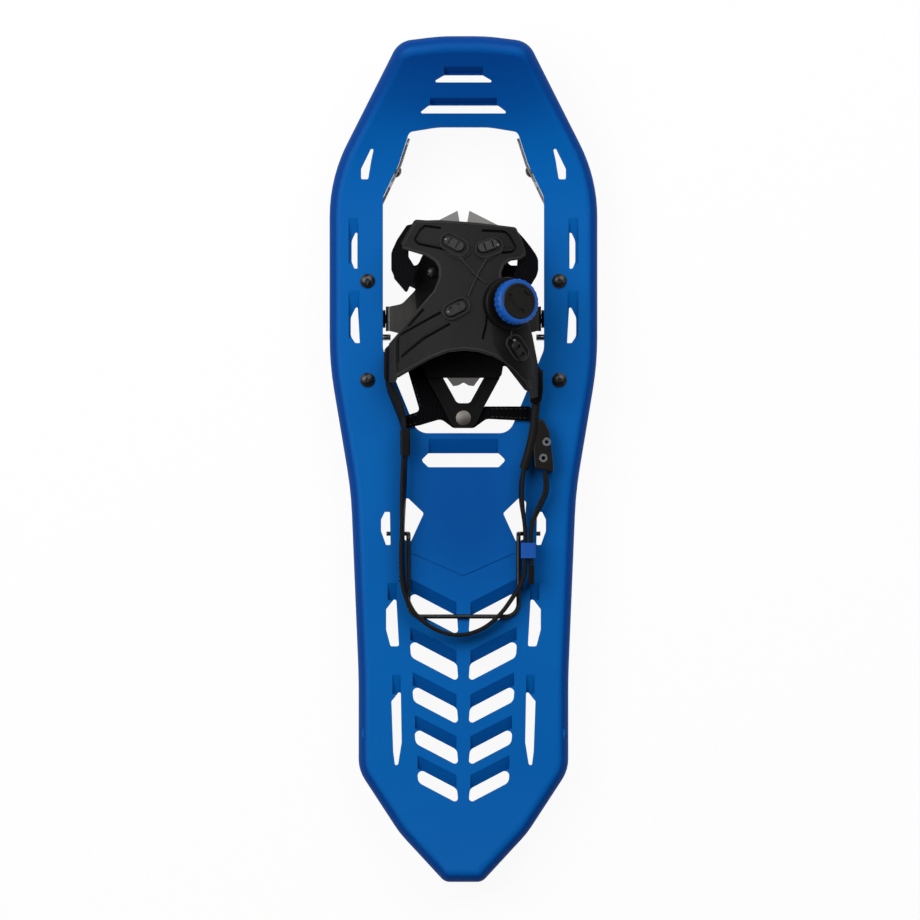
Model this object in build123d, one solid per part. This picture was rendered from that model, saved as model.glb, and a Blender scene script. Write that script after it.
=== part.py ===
"""Snowshoe with a moulded plastic deck, steel traction rails and a pivoting lace binding.

Millimetres. +Y points to the toe, +X to the wearer's right, +Z up. The origin lies under the
deck's centre, on the plane that the rail teeth stand on. Each piece is a node of its own.
"""

from build123d import *
from math import asin, atan2, cos, degrees, radians, sin, sqrt, tan
import os

# ------------------------------------------------------------------ driving dimensions, mm
# Deck
deck_length = 660.4
deck_half_width = 104.7
tail_half_width = 82.0
deck_top = 36.0
plate = 3.0
wall = 3.0
lip_wall = 4.0
lip_depth = 12.0
rim_depth = 15.0
shoulder_radius = 9.0
toe_bend_y = 190.0
toe_lift = 40.0
tail_bend_y = -228.0
tail_lift = 9.0
rib = 2.4
toe_crown = 4.0
heel_groove_depth = 0.7
heel_groove_width = 1.8
# Opening that the binding swings through
opening_half_width = 63.0
opening_front_y = 259.5
opening_back_y = 20.6
# Rails and their fasteners
rail_sheet = 2.0
rail_x = 66.0
rail_back_y = -236.0
rail_turn_y = 198.4
rail_ear_height = 34.5
rail_inset = 1.3
tooth_pitch = 22.0
tooth_depth = 9.0
bolt_ys = [139.5, 62.1]
bolt_x = 75.0
bolt_radius = 3.0
screw_ys = [-28.0, -88.0, -214.0]
screw_x = 73.0
screw_radius = 2.0
tab_half_width = 9.0
bolt_tab_reach = 7.0
screw_tab_reach = 5.4
boss_radius = 6.5
rim_rivet_radius = 2.0
rim_rivet_z = 31.0
rim_rivet_share = 0.78
bolt_head_radius = 5.65
bolt_head_height = 3.0
bolt_socket = 2.0
bolt_end_z = 16.5
nut_radius = 5.4
nut_height = 3.6
nut_flange_radius = 6.4
screw_head_radius = 4.5
rivet_head_height = 2.4
# Binding pivot
pivot_y = 110.0
pivot_z = 16.0
pivot_radius = 4.0
stop_pin_y = 95.5
stop_pin_z = 17.5
stop_pin_radius = 2.5
stop_pin_neck = 1.5
stop_pin_reach = 8.0
pin_head = 2.0
pin_head_thickness = 1.4
bushing_wall = 3.0
# Crampon
crampon_sheet = 2.0
crampon_top = 36.0
flange_face_x = 60.7
flange_width = 19.2
claw_tip_y = 195.0
claw_tip_z = 1.0
# Foot stack
yoke_bottom = 40.0
yoke_thickness = 3.0
base_thickness = 1.5
footbed_thickness = 4.5
footbed_half_width = 38.0
footbed_front_y = 172.0
footbed_back_y = 63.7
ridge_pitch = 7.0
ridge_height = 0.9
ridge_centre_y = 20.0
ridge_first_radius = 48.0
foot_rivet_radius = 2.0
disc_radius = 5.85
disc_y = 32.4
disc_shank_radius = 2.5
foot_rivet_head = 4.8
foot_rivet_spots = [(24.0, 146.0), (24.0, 118.0), (23.0, 90.0)]
head_sink = 1.6
yoke_groove_inset = 2.6
yoke_groove_depth = 0.8
rear_strap_thickness = 2.0
# Wrap over the foot, an elliptical vault that falls towards the toe
wrap_half_span = 58.2
wrap_rise = 42.0
wrap_spring_z = 52.0
wrap_tilt = 8.0
wrap_thickness = 3.0
web_rise = 31.5
web_thickness = 2.2
# Dial
dial_x = 35.0
dial_y = 121.0
dial_radius = 17.8
dial_height = 8.0
dial_teeth = 24
housing_flange_radius = 21.0
housing_radius = 15.5
housing_height = 9.0
spool_radius = 9.5
spool_height = 4.6
dial_pin_radius = 3.0
lace_radius = 0.6
guide_length = 17.0
guide_width = 8.5
# Heel strap
strap_thickness = 3.2
strap_width = 12.4
strap_bottom = 40.1
strap_start_x = 45.4
strap_run_x = 48.2
tail_run_x = 53.0
keeper_y = -71.0
keeper_length = 12.0
keeper_wall = 1.5
sleeve_y = 13.0
sleeve_length = 20.0
sleeve_wall = 1.8
strap_end_length = 15.0
strap_end_y = -89.8
buckle_top = 51.0
buckle_rivet_radius = 2.6
buckle_rivet_places = [(65.0, 13.7), (62.4, 1.2)]
# Heel-lift bar
bar_radius = 1.7
bar_axis_y = -58.0
bar_axis_z = 29.0
bar_leg_x = 43.0
bar_back_y = -122.7
bar_end_x = 60.2
bar_lug_x = 52.6
bar_lug_width = 6.4
bar_lug_length = 9.0
# Clearances
running = 0.05
seat = 0.3
soft = 0.4
# A height above the whole shoe, for cuts that go right through
sky = 120.0

# ------------------------------------------------------------------ derived values
half_length = deck_length / 2
rail_top = deck_top - lip_depth
toe_run = half_length - toe_bend_y
toe_radius = (toe_run**2 + toe_lift**2) / (2 * toe_lift)
tail_run = half_length + tail_bend_y
tail_radius = (tail_run**2 + tail_lift**2) / (2 * tail_lift)
yoke_top = yoke_bottom + yoke_thickness
base_top = yoke_top + base_thickness
footbed_top = base_top + footbed_thickness
strap_top = strap_bottom + strap_width
strap_middle = (strap_bottom + strap_top) / 2
buckle_bottom = strap_bottom - 1.5
bar_leg_z = deck_top + seat + bar_radius
tilt = radians(wrap_tilt)


# ------------------------------------------------------------------ shared helpers
def mirrored(points):
    """A right-hand chain of points followed by its mirror image across the centre plane."""
    return points + [(-x, y) for x, y in reversed(points)]


def rounded(points, radii):
    """A face bounded by a polyline with a fillet of its own at each corner."""
    if isinstance(radii, (int, float)):
        radii = [radii] * len(points)
    return make_face(FilletPolyline(*points, radius=radii, close=True))


def symmetric(points, radii):
    """A rounded face from its right half."""
    if isinstance(radii, (int, float)):
        radii = [radii] * len(points)
    return rounded(mirrored(points), radii + radii[::-1])


def prism(face, low, high):
    """The face extruded from one height to another."""
    return extrude(Pos(0, 0, low) * face, high - low)


def both_sides(shape):
    """The shape and its mirror image across the centre plane."""
    return [shape, mirror(shape, Plane.YZ)]


def along_x(radius, x_low, x_high, y, z):
    """A round bar parallel to the X axis."""
    middle = Pos((x_low + x_high) / 2, y, z)
    return middle * Rot(0, 90, 0) * Cylinder(radius, x_high - x_low)


def upright(radius, x, y, low, high):
    """A round bar parallel to the Z axis."""
    return Pos(x, y, (low + high) / 2) * Cylinder(radius, high - low)


def dome(radius, height):
    """A domed head that stands on the XY plane, its crown a spherical cap on a short rim."""
    rim = height * 0.35
    rise = height - rim
    ball = (radius**2 + rise**2) / (2 * rise)
    half = asin(radius / ball) / 2
    middle = (ball * sin(half), height - ball + ball * cos(half))
    face = make_face(
        Polyline((0, height), (0, 0), (radius, 0), (radius, rim)).edges()
        + ThreePointArc((radius, rim), middle, (0, height)).edges()
    )
    return revolve(Plane.XZ * face, Axis.Z)


def write(name, *shapes):
    """Writes one node, a compound when it holds several solids."""
    solids = [solid for shape in shapes for solid in shape.solids()]
    whole = solids[0] if len(solids) == 1 else Compound(children=solids)
    export_step(whole, f"parts/{name}.step")
    print(name, len(solids), round(sum(solid.volume for solid in solids)))


# ------------------------------------------------------------------ deck
outline_points = [
    (18, half_length),
    (50.5, half_length - toe_crown),
    (deck_half_width, 220),
    (deck_half_width, 75),
    (tail_half_width + 6, -25),
    (tail_half_width, -170),
    (tail_half_width, -243),
    (50, -292),
    (14.6, -half_length),
]
outline_radii = [150, 18, 125, 250, 300, 600, 30, 80, 9]
opening_points = [
    (20, opening_front_y),
    (42.4, opening_front_y - 3.6),
    (50.5, 231),
    (opening_half_width, 205),
    (opening_half_width, 86),
    (36, opening_back_y),
]
opening_radii = [60, 5, 20, 8, 15, 12]
side_holes = [
    ([(68.2, 251), (80, 227), (80, 219), (74.5, 219), (72, 234)], 1.2),
    (
        [(82.9, 149.2), (82.9, 177.2), (84.4, 177.2), (87.4, 171), (87.4, 154.4), (85.2, 149.2)],
        [0.6, 0.6, 1.2, 10, 6, 1.2],
    ),
    (
        [(81, 91), (82.6, 118.7), (84.2, 118.7), (88.1, 111), (88.1, 96.5), (84.6, 91)],
        [0.6, 0.6, 1.2, 8, 6, 1.6],
    ),
    ([(43.5, -30), (49, -33), (47.3, -62), (41.5, -65), (31, -42)], 2.0),
    ([(57.5, -41), (61.5, -41), (64.4, -47), (64.4, -56), (60.5, -66.8), (57, -66.8)], 1.0),
    ([(52.6, -107), (60.4, -117), (60.4, -133), (57, -146), (50.4, -146)], 1.5),
    ([(49, -180), (56.3, -189), (54.9, -228), (53.4, -240), (51, -238), (48.3, -221)], 1.2),
]
centre_holes = [
    ([(27.5, 4.8), (33, -0.6), (27.5, -6)], [2, 2, 2]),
    ([(15, 299.7), (24.5, 294.2)], [1.5, 1]),
    ([(27, 276.3), (35, 270.2)], [2, 1]),
]
heel_groove_x = 40.0
heel_groove_y = -74.0
heel_groove_tip_y = -91.5
# Ribs under the plate
rail_rib_front_y = 88.0
heel_rib_x = 45.3
heel_rib_y = -160.0
heel_rib_length = 190.0
flank_rib_ys = [190.0, 20.0, -160.0]
spine_y = -178.0
spine_length = 176.0
cross_rib_ys = [13.0, -88.0]
chevron_slope = 0.51
chevron_inner_x = 4.0
chevron_radii = [3.5, 5.0, 2.5, 6.0]
chevron_rows = [
    # toe end and tail end at the outer edge, and the outer edge
    (-103.0, -118.0, 42.0),
    (-140.5, -154.5, 42.0),
    (-176.0, -189.0, 40.1),
    (-209.5, -222.0, 38.4),
    (-241.0, -252.5, 36.3),
]
# Ramps that lead down to the holes
ramp_drop = 3.6
ramp_floor = 2.4
chevron_ramp_run = 9.0
flat_ramps = [
    # centre x, y where the ramp is deepest, half width, run towards the toe, run on at full
    # depth beside the hole
    (0.0, 5.0, 27.0, 11.0, 0.5),
    (86.0, 171.0, 3.8, 18.0, 18.0),
    (85.6, 112.0, 4.2, 20.0, 17.0),
    (55.6, -109.5, 3.6, 13.0, 0.5),
    (52.3, -183.0, 3.2, 15.0, 0.5),
    (0.0, 300.0, 15.0, 7.0, 0.5),
    (0.0, 276.6, 26.0, 6.0, 0.5),
]


def surface(y):
    """Height and slope of the deck's top surface on the side-view curve."""
    if y > toe_bend_y:
        angle = asin((y - toe_bend_y) / toe_radius)
        return deck_top + toe_radius * (1 - cos(angle)), angle
    if y < tail_bend_y:
        angle = asin((y - tail_bend_y) / tail_radius)
        return deck_top + tail_radius * (1 - cos(angle)), angle
    return deck_top, 0.0


def bend_points(start_y, radius, run, offset, way):
    """Start, middle and end of one bent end of the side-view curve at an offset."""
    reach = asin((run + 6) / (radius - 12))
    centre_z = deck_top + radius
    arc = radius - offset
    return [
        (start_y + way * arc * sin(a), centre_z - arc * cos(a)) for a in (0, reach / 2, reach)
    ]


def layer(high, low):
    """A layer of the deck between two offsets from its top surface, bent at toe and tail."""
    edges = []
    ends = []
    for offset in (high, low):
        toe = bend_points(toe_bend_y, toe_radius, toe_run, offset, 1)
        tail = bend_points(tail_bend_y, tail_radius, tail_run, offset, -1)
        edges += [ThreePointArc(*toe), ThreePointArc(*tail), Line(toe[0], tail[0])]
        ends.append((toe[2], tail[2]))
    edges += [Line(ends[0][0], ends[1][0]), Line(ends[0][1], ends[1][1])]
    return extrude(Plane.YZ * make_face(edges), deck_half_width + 10, both=True)


def shoulder(solid, offset, radius):
    """Rounds the outer top edge of a bent prism whose top lies at an offset."""
    edges = []
    for edge in solid.edges():
        middle = edge.center()
        height, slope = surface(middle.Y)
        if abs(middle.Z - height - offset / cos(slope)) < 1.0:
            edges.append(edge)
    return fillet(edges, radius)


def chevron(toe_y, tail_y, outer_x):
    """One slanted louvre hole, pointing to the tail at the centre."""
    fall = (outer_x - chevron_inner_x) * chevron_slope
    points = [
        (outer_x, toe_y),
        (chevron_inner_x + 1, toe_y - fall),
        (chevron_inner_x, tail_y - fall),
        (outer_x - 1, tail_y),
    ]
    return rounded(points, chevron_radii)


def ramp(half_width, run, run_on, height, slope, x, y, turn):
    """The floor and the hollow of a ramp that falls to full depth at (x, y)."""
    floor_end = -run_on - ramp_floor
    floor_side = [
        (run + 1, -0.5),
        (floor_end, -0.5),
        (floor_end, -ramp_drop - ramp_floor),
        (0, -ramp_drop - ramp_floor),
        (run + 1, -plate),
    ]
    hollow_side = [(run, 0), (run, 2), (-run_on, 2), (-run_on, -ramp_drop), (0, -ramp_drop)]
    place = Pos(x, y, height) * Rot(degrees(slope), 0, turn)
    width = half_width + ramp_floor
    floor = extrude(Plane.YZ * make_face(Polyline(*floor_side, close=True)), width, both=True)
    face = make_face(Polyline(*hollow_side, close=True))
    hollow = extrude(Plane.YZ * face, half_width, both=True)
    return place * floor, place * hollow


def deck_ramps():
    """Every ramp of the deck, as floors to add and hollows to cut."""
    ramps = []
    for x, y, half_width, run, run_on in flat_ramps:
        height, slope = surface(y)
        one = ramp(half_width, run, run_on, height, slope, x, y, 0)
        ramps.append(one)
        if x:
            ramps.append([mirror(piece, Plane.YZ) for piece in one])
    for row in chevron_rows:
        one = chevron_ramp(*row)
        ramps += [one, [mirror(piece, Plane.YZ) for piece in one]]
    return ramps


def chevron_ramp(toe_y, tail_y, outer_x):
    """The ramp above one louvre hole, trimmed to upright ends that follow the hole's."""
    turn = atan2(chevron_slope, 1)
    middle_x = (outer_x + chevron_inner_x) / 2
    middle_y = toe_y - (outer_x - middle_x) * chevron_slope
    half_width = (outer_x - chevron_inner_x) / 2 / cos(turn) + chevron_ramp_run
    height, slope = surface(middle_y)
    floor, hollow = ramp(
        half_width, chevron_ramp_run, 0.5, height, slope, middle_x, middle_y, degrees(turn)
    )
    spine_side, flank_side = chevron_inner_x + 1.5, outer_x - 0.5
    hollow &= strip(spine_side, flank_side)
    floor &= strip(rib / 2, flank_side + ramp_floor)
    return floor, hollow


def strip(low_x, high_x):
    """Everything between two upright planes across the shoe."""
    middle_x = (low_x + high_x) / 2
    return Pos(middle_x, 0, sky / 2) * Box(high_x - low_x, deck_length, sky)


def deck_ribs():
    """Plan of the ribs under the plate."""
    ribs = []
    for side in (-1, 1):
        middle_y = (rail_rib_front_y + rail_back_y) / 2
        beside_rail = Rectangle(rail_sheet, rail_rib_front_y - rail_back_y)
        ribs.append(Pos(side * rail_x, middle_y) * beside_rail)
        ribs.append(Pos(side * heel_rib_x, heel_rib_y) * Rectangle(rib, heel_rib_length))
        for y in (*bolt_ys, *screw_ys, *flank_rib_ys):
            outer = tail_half_width - wall if y < 0 else deck_half_width - 2 * plate
            ribs.append(Pos(side * (rail_x + outer) / 2, y) * Rectangle(outer - rail_x, rib))
    ribs.append(Pos(0, spine_y) * Rectangle(rib, spine_length))
    for y in cross_rib_ys:
        ribs.append(Pos(0, y) * Rectangle(2 * rail_x, rib))
    return Sketch() + ribs


def heel_groove():
    """Shallow V groove across the heel pad, where it steps down to the louvres."""
    ends = [(-heel_groove_x, heel_groove_y), (heel_groove_x, heel_groove_y)]
    path = Polyline(ends[0], (0, heel_groove_tip_y), ends[1])
    return prism(trace(path, heel_groove_width), deck_top - heel_groove_depth, sky)


def bar_lugs():
    """Blocks under the plate that the heel-lift bar turns in."""
    low = rail_top + 1
    high = deck_top - plate / 2
    block = Box(bar_lug_width, bar_lug_length, high - low)
    return [Pos(x, bar_axis_y, (high + low) / 2) * block for x in (-bar_lug_x, bar_lug_x)]


def screw_holes():
    """Clearance holes through the bosses: right through for bolts, blind for screws."""
    holes = []
    for x, y in boss_places():
        if y in bolt_ys:
            holes.append(upright(bolt_radius + running, x, y, 0, sky))
        else:
            holes.append(upright(screw_radius + running, x, y, 0, deck_top - plate))
    return holes


def deck():
    outline = symmetric(outline_points, outline_radii)
    opening = symmetric(opening_points, opening_radii)
    lip = prism(offset(opening, lip_wall), 0, sky)
    body = shoulder(prism(outline, 0, sky) & layer(0, -rim_depth), 0, shoulder_radius)
    inside = prism(offset(outline, -wall), 0, sky) & layer(-plate, -rim_depth - 2)
    inside = shoulder(inside, -plate, shoulder_radius - wall)
    body -= inside - lip
    ramps = deck_ramps()
    added = [prism(deck_ribs(), 0, sky) & inside & layer(-plate, -lip_depth)]
    added += [upright(boss_radius, x, y, rail_top, deck_top - plate / 2) for x, y in boss_places()]
    added += bar_lugs() + [floor for floor, hollow in ramps]
    body += added
    cuts = [hollow for floor, hollow in ramps]
    cuts += [lip & layer(-lip_depth, -rim_depth - 2), prism(opening, 0, sky), heel_groove()]
    for points, radii in side_holes:
        cuts += both_sides(prism(rounded(points, radii), 0, sky))
    for points, radii in centre_holes:
        cuts.append(prism(symmetric(points, radii), 0, sky))
    for row in chevron_rows:
        cuts += both_sides(prism(chevron(*row), 0, sky))
    cuts += screw_holes()
    reach = bar_lug_width
    for x in (-bar_lug_x, bar_lug_x):
        cuts.append(along_x(bar_radius + running, x - reach, x + reach, bar_axis_y, bar_axis_z))
    for place in rim_rivet_places():
        cuts.append(place * Pos(0, 0, lip_wall) * Cylinder(rim_rivet_radius + running, 3 * lip_wall))
    return body - cuts


def boss_places():
    """Centres of the bosses under the deck, for the bolts and the screws of both rails."""
    return [(side * x, y) for side in (-1, 1) for x, y in tab_places()]


def front_edge():
    """Start, end and inward normal of the opening's slanted front edge, right side."""
    start = Vector(opening_points[3][0], opening_points[3][1])
    end = Vector(opening_points[2][0], opening_points[2][1])
    along = (end - start).normalized()
    return start, end, Vector(-along.Y, along.X)


def rim_rivet_places():
    """Frames whose Z axis runs outward through the rail and the lip, at the web's face."""
    start, end, inward = front_edge()
    spot = start + (end - start) * rim_rivet_share + inward * (rail_inset + rail_sheet / 2)
    places = []
    for side in (-1, 1):
        origin = (side * spot.X, spot.Y, rim_rivet_z)
        places.append(Plane(origin, z_dir=(-side * inward.X, -inward.Y, 0)).location)
    return places


# ------------------------------------------------------------------ traction rails
def rail_side():
    """Side view of a rail: flat top, raised ear at the front, teeth below."""
    points = [(rail_back_y, rail_top), (212, rail_top), (217, rail_ear_height)]
    points += [(246, rail_ear_height + 1), (257, rail_ear_height - 3), (257, rail_ear_height - 9)]
    points += [(240, rail_top - 4), (228, tooth_depth)]
    count = int((226 - rail_back_y) // tooth_pitch)
    for step in range(count):
        y = 226 - step * tooth_pitch
        points += [(y, 0.0), (y - 3, 0.0), (y - 8, tooth_depth), (y - tooth_pitch + 6, tooth_depth)]
    points += [(rail_back_y, tooth_depth + 3)]
    return make_face(Polyline(*points, close=True))


def rail(side):
    start, end, inward = front_edge()
    first = start + inward * rail_inset
    second = end + inward * rail_inset
    direction = (second - first).normalized()
    turn_y = first.Y - direction.Y * (first.X - rail_x) / direction.X
    corner = Vector(opening_points[1][0], opening_points[1][1])
    last = second + (corner - end) * 0.82
    route = [(rail_x, rail_back_y), (rail_x, turn_y), (second.X, second.Y), (last.X, last.Y)]
    path = FilletPolyline(*route, radius=[8, 8])
    web = prism(trace(path, rail_sheet), -1, 60) & extrude(
        Plane.YZ * rail_side(), deck_half_width, both=True
    )
    for x, y in tab_places():
        bolted = y in bolt_ys
        outer = x + (bolt_tab_reach if bolted else screw_tab_reach)
        tab = rounded(
            [
                (rail_x, y - tab_half_width),
                (outer, y - tab_half_width),
                (outer, y + tab_half_width),
                (rail_x, y + tab_half_width),
            ],
            [0.2, 6, 6, 0.2],
        )
        web += prism(tab, rail_top - rail_sheet, rail_top)
        radius = bolt_radius if bolted else screw_radius
        web -= upright(radius + running, x, y, 0, 60)
    web -= along_x(pivot_radius + running, 0, deck_half_width, pivot_y, pivot_z)
    web -= along_x(stop_pin_neck + running, 0, deck_half_width, stop_pin_y, stop_pin_z)
    web -= rim_rivet_places()[1] * Cylinder(rim_rivet_radius + running, 12)
    return web if side > 0 else mirror(web, Plane.YZ)


def tab_places():
    """Bolt and screw centres of the right rail's tabs."""
    return [(bolt_x, y) for y in bolt_ys] + [(screw_x, y) for y in screw_ys]


def deck_bolts():
    bolts = []
    for side in (-1, 1):
        for y in bolt_ys:
            head = dome(bolt_head_radius, bolt_head_height)
            socket = extrude(RegularPolygon(bolt_socket, 6), -bolt_head_height / 2)
            head -= Pos(0, 0, bolt_head_height) * socket
            shank = upright(bolt_radius, side * bolt_x, y, bolt_end_z, deck_top)
            bolts.append(Pos(side * bolt_x, y, deck_top) * head + shank)
    return bolts


def deck_nuts():
    nuts = []
    for side in (-1, 1):
        for y in bolt_ys:
            top = rail_top - rail_sheet
            nut = Pos(side * bolt_x, y, top) * extrude(RegularPolygon(nut_radius, 6), -nut_height)
            nut += upright(nut_flange_radius, side * bolt_x, y, top - 1.0, top)
            nuts.append(nut - upright(bolt_radius + running, side * bolt_x, y, 0, sky))
    return nuts


def rail_screws():
    screws = []
    for side in (-1, 1):
        for y in screw_ys:
            top = rail_top - rail_sheet
            head = dome(screw_head_radius, rivet_head_height)
            head = Pos(side * screw_x, y, top) * Rot(180, 0, 0) * head
            shank = upright(screw_radius, side * screw_x, y, top, deck_top - plate - 1)
            screws.append(head + shank)
    return screws


def rim_rivets():
    rivets = []
    for place in rim_rivet_places():
        grip = rail_sheet + rail_inset - rail_sheet / 2 + lip_wall
        shank = Pos(0, 0, grip / 2) * Cylinder(rim_rivet_radius, grip)
        head = Rot(180, 0, 0) * dome(2 * rim_rivet_radius, rivet_head_height)
        tail = Pos(0, 0, grip) * dome(1.7 * rim_rivet_radius, 0.8 * rim_rivet_radius)
        rivets.append(place * (shank + head + tail))
    return rivets


# ------------------------------------------------------------------ binding pivot
def pivot_pins():
    web_outer = rail_x + rail_sheet / 2
    head_face = flange_face_x - crampon_sheet - seat
    inner, outer = head_face - pin_head_thickness, web_outer + pin_head_thickness
    pin = along_x(pivot_radius, inner, outer, pivot_y, pivot_z)
    pin += along_x(pivot_radius + pin_head, inner, head_face, pivot_y, pivot_z)
    pin += along_x(pivot_radius + pin_head, web_outer, outer, pivot_y, pivot_z)
    return both_sides(pin)


def pivot_bushings():
    web_inner = rail_x - rail_sheet / 2
    ring = along_x(
        pivot_radius + bushing_wall, flange_face_x + seat, web_inner, pivot_y, pivot_z
    )
    ring -= along_x(pivot_radius + running, 0, deck_half_width, pivot_y, pivot_z)
    return both_sides(ring)


def stop_pins():
    web_inner = rail_x - rail_sheet / 2
    web_outer = rail_x + rail_sheet / 2
    pin = along_x(stop_pin_radius, web_inner - stop_pin_reach, web_inner, stop_pin_y, stop_pin_z)
    pin += along_x(stop_pin_neck, web_inner, web_outer + 1, stop_pin_y, stop_pin_z)
    return both_sides(pin)


# ------------------------------------------------------------------ crampon
def sheet_along(side_points, plan):
    """Sheet metal whose middle line in side view is a polyline, cut to a plan outline."""
    path = Polyline(*side_points)
    side = extrude(Plane.YZ * trace(path, crampon_sheet), 80, both=True)
    return side & prism(plan, -20, 80)


def toe_crampon():
    middle_z = crampon_top - crampon_sheet / 2
    half_flange = flange_width / 2
    plate_plan = symmetric(
        [
            (27, 166),
            (36, 152),
            (37, 133),
            (48, pivot_y + half_flange + 2),
            (flange_face_x - 3, pivot_y + half_flange),
            (flange_face_x - 3, pivot_y - half_flange),
            (44, 97),
            (31, 84),
            (14, 70),
        ],
        [4, 6, 8, 8, 0.1, 0.1, 8, 10, 3],
    )
    body = prism(plate_plan, crampon_top - crampon_sheet, crampon_top)
    web_x = flange_face_x - crampon_sheet / 2
    path = FilletPolyline((web_x - 7, middle_z), (web_x, middle_z), (web_x, 2), radius=3)
    strip = extrude(Plane.XZ * trace(path, crampon_sheet), half_flange, both=True)
    strip = Pos(0, pivot_y, 0) * strip
    side = make_face(
        Polyline(
            (pivot_y - half_flange, 60),
            (pivot_y - half_flange, pivot_z),
            (pivot_y - half_flange + 4, pivot_z - 9),
            (pivot_y + half_flange - 4, pivot_z - 9),
            (pivot_y + half_flange, pivot_z),
            (pivot_y + half_flange, 60),
            close=True,
        )
    )
    side = fillet(side.vertices().filter_by_position(Axis.Y, 0, 30), 4)
    strip &= extrude(Plane.YZ * side, 80, both=True)
    strip -= along_x(pivot_radius + running, 50, 70, pivot_y, pivot_z)
    for piece in both_sides(strip):
        body += piece
    claw_start = claw_tip_y - (middle_z - claw_tip_z)
    claw_plan = symmetric(
        [(2.6, 150), (2.6, 184), (4.6, claw_tip_y), (28, 183), (33, 174), (27, 150)],
        [0.1, 0.5, 0.3, 1, 4, 0.1],
    )
    claw_plan = claw_plan - Pos(0, 192) * Rectangle(5.2, 20)
    claw_end = (claw_tip_y + 2, claw_tip_z - 1)
    claw_side = [(claw_start - 6, middle_z), (claw_start, middle_z), claw_end]
    body += sheet_along(claw_side, claw_plan)
    back_plan = symmetric([(14, 80), (13, 64), (8, 57.4), (4, 58), (0.5, 60)], 0.3)
    body += sheet_along([(78, middle_z), (72, middle_z), (57, 6)], back_plan)
    window = rounded([(-16, 108), (16, 108), (16, 138), (-16, 138)], 6)
    return body - [prism(window, 0, sky)] - foot_rivet_holes()


# ------------------------------------------------------------------ foot stack
def foot_rivet_places():
    return [(side * x, y) for side in (-1, 1) for x, y in foot_rivet_spots]


def foot_rivet_holes():
    """Clearance holes for the rivets that hold the whole foot stack together."""
    return [upright(foot_rivet_radius + running, x, y, 0, sky) for x, y in foot_rivet_places()]


def foot_outline():
    return symmetric(
        [
            (20, footbed_front_y),
            (footbed_half_width - 4, 158),
            (footbed_half_width, 130),
            (34, 92),
            (29.5, footbed_back_y),
        ],
        [14, 20, 40, 30, 4],
    )


def heel_yoke():
    outer = symmetric(
        [(22, 160), (31, 150), (31, 96), (28.6, 64), (16, 41), (8.6, 25)],
        [3, 8, 30, 8, 20, 7],
    )
    window = symmetric([(19, 86), (16, 64), (5, 44)], [4, 4, 4])
    pad = symmetric([(22, 160), (31, 150), (31, 96), (29.6, 78)], [3, 8, 30, 3])
    yoke = prism(outer, yoke_bottom, yoke_top) + prism(pad, crampon_top, yoke_bottom)
    yoke -= prism(window, 0, sky)
    groove = offset(outer, -yoke_groove_inset) - offset(window, yoke_groove_inset)
    groove &= Pos(0, footbed_back_y / 2) * Rectangle(2 * footbed_half_width, footbed_back_y)
    groove -= Pos(0, disc_y) * Circle(disc_radius + 2)
    yoke -= prism(groove, yoke_top - yoke_groove_depth, yoke_top)
    return yoke - [upright(disc_shank_radius + running, 0, disc_y, 0, sky)] - foot_rivet_holes()


def rear_strap():
    points = [
        (52, 41.5), (16, 41.5), (8, 34), (-8, 34), (-16, 48), (-22, 68), (-42.5, 68),
        (-34.2, 37.8), (-49, 33), (-49, 24), (-34, 26.7), (-17.5, 31.6), (-8, 24.5),
        (8, 24.5), (18, 31.7), (52, 30),
    ]
    radii = [1, 3, 3, 3, 5, 1, 1, 3, 1, 1, 8, 6, 4, 4, 6, 1]
    top = yoke_bottom - seat
    strap = prism(rounded(points, radii), top - rear_strap_thickness, top)
    pad = symmetric([(22, 160), (31 + soft, 150), (31 + soft, 96), (29.6 + soft, 78 - soft)], 1)
    strap -= prism(pad, 0, sky)
    return strap - upright(disc_shank_radius + running, 0, disc_y, 0, sky)


def disc_rivet():
    low = yoke_bottom - seat - rear_strap_thickness
    shank = upright(disc_shank_radius, 0, disc_y, low, yoke_top)
    foot = Pos(0, disc_y, low) * Rot(180, 0, 0) * dome(1.8 * disc_shank_radius, head_sink)
    return shank + foot + Pos(0, disc_y, yoke_top) * dome(disc_radius, head_sink)


def wrap_base():
    ears = [
        Pos(0, 144) * Rectangle(2 * (wrap_half_span - 1), 24),
        Pos(0, 84) * Rectangle(2 * (wrap_half_span - 1), 20),
    ]
    ears = [fillet(ear.vertices(), 4) for ear in ears]
    plan = offset(foot_outline(), -1.5) + ears
    return prism(plan, yoke_top, base_top) - foot_rivet_holes()


def footbed():
    outline = foot_outline()
    body = prism(outline, base_top, footbed_top)
    rim = body.edges().group_by(Axis.Z)[-1]
    body = fillet(rim, 1.4)
    count = int((footbed_front_y - ridge_centre_y - ridge_first_radius) // ridge_pitch)
    field = offset(outline, -4)
    for step in range(count):
        radius = ridge_first_radius + step * ridge_pitch
        ring = Circle(radius + ridge_height) - Circle(radius - ridge_height)
        ring = Pos(0, ridge_centre_y) * ring & field
        body += prism(ring, footbed_top - 0.5, footbed_top + ridge_height)
    seats = [
        upright(foot_rivet_head + soft, x, y, footbed_top - head_sink, sky)
        for x, y in foot_rivet_places()
    ]
    return body - seats - foot_rivet_holes()


def footbed_rivets():
    rivets = []
    for x, y in foot_rivet_places():
        low = crampon_top - crampon_sheet
        high = footbed_top - head_sink
        head = Pos(x, y, high) * dome(foot_rivet_head, head_sink)
        foot = Pos(x, y, low) * Rot(180, 0, 0) * dome(foot_rivet_head, head_sink)
        rivets.append(upright(foot_rivet_radius, x, y, low, high) + head + foot)
    return rivets


# ------------------------------------------------------------------ wrap
vault_plane = Plane(
    (0, pivot_y, wrap_spring_z), x_dir=(1, 0, 0), z_dir=(0, -cos(tilt), sin(tilt))
)


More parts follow.
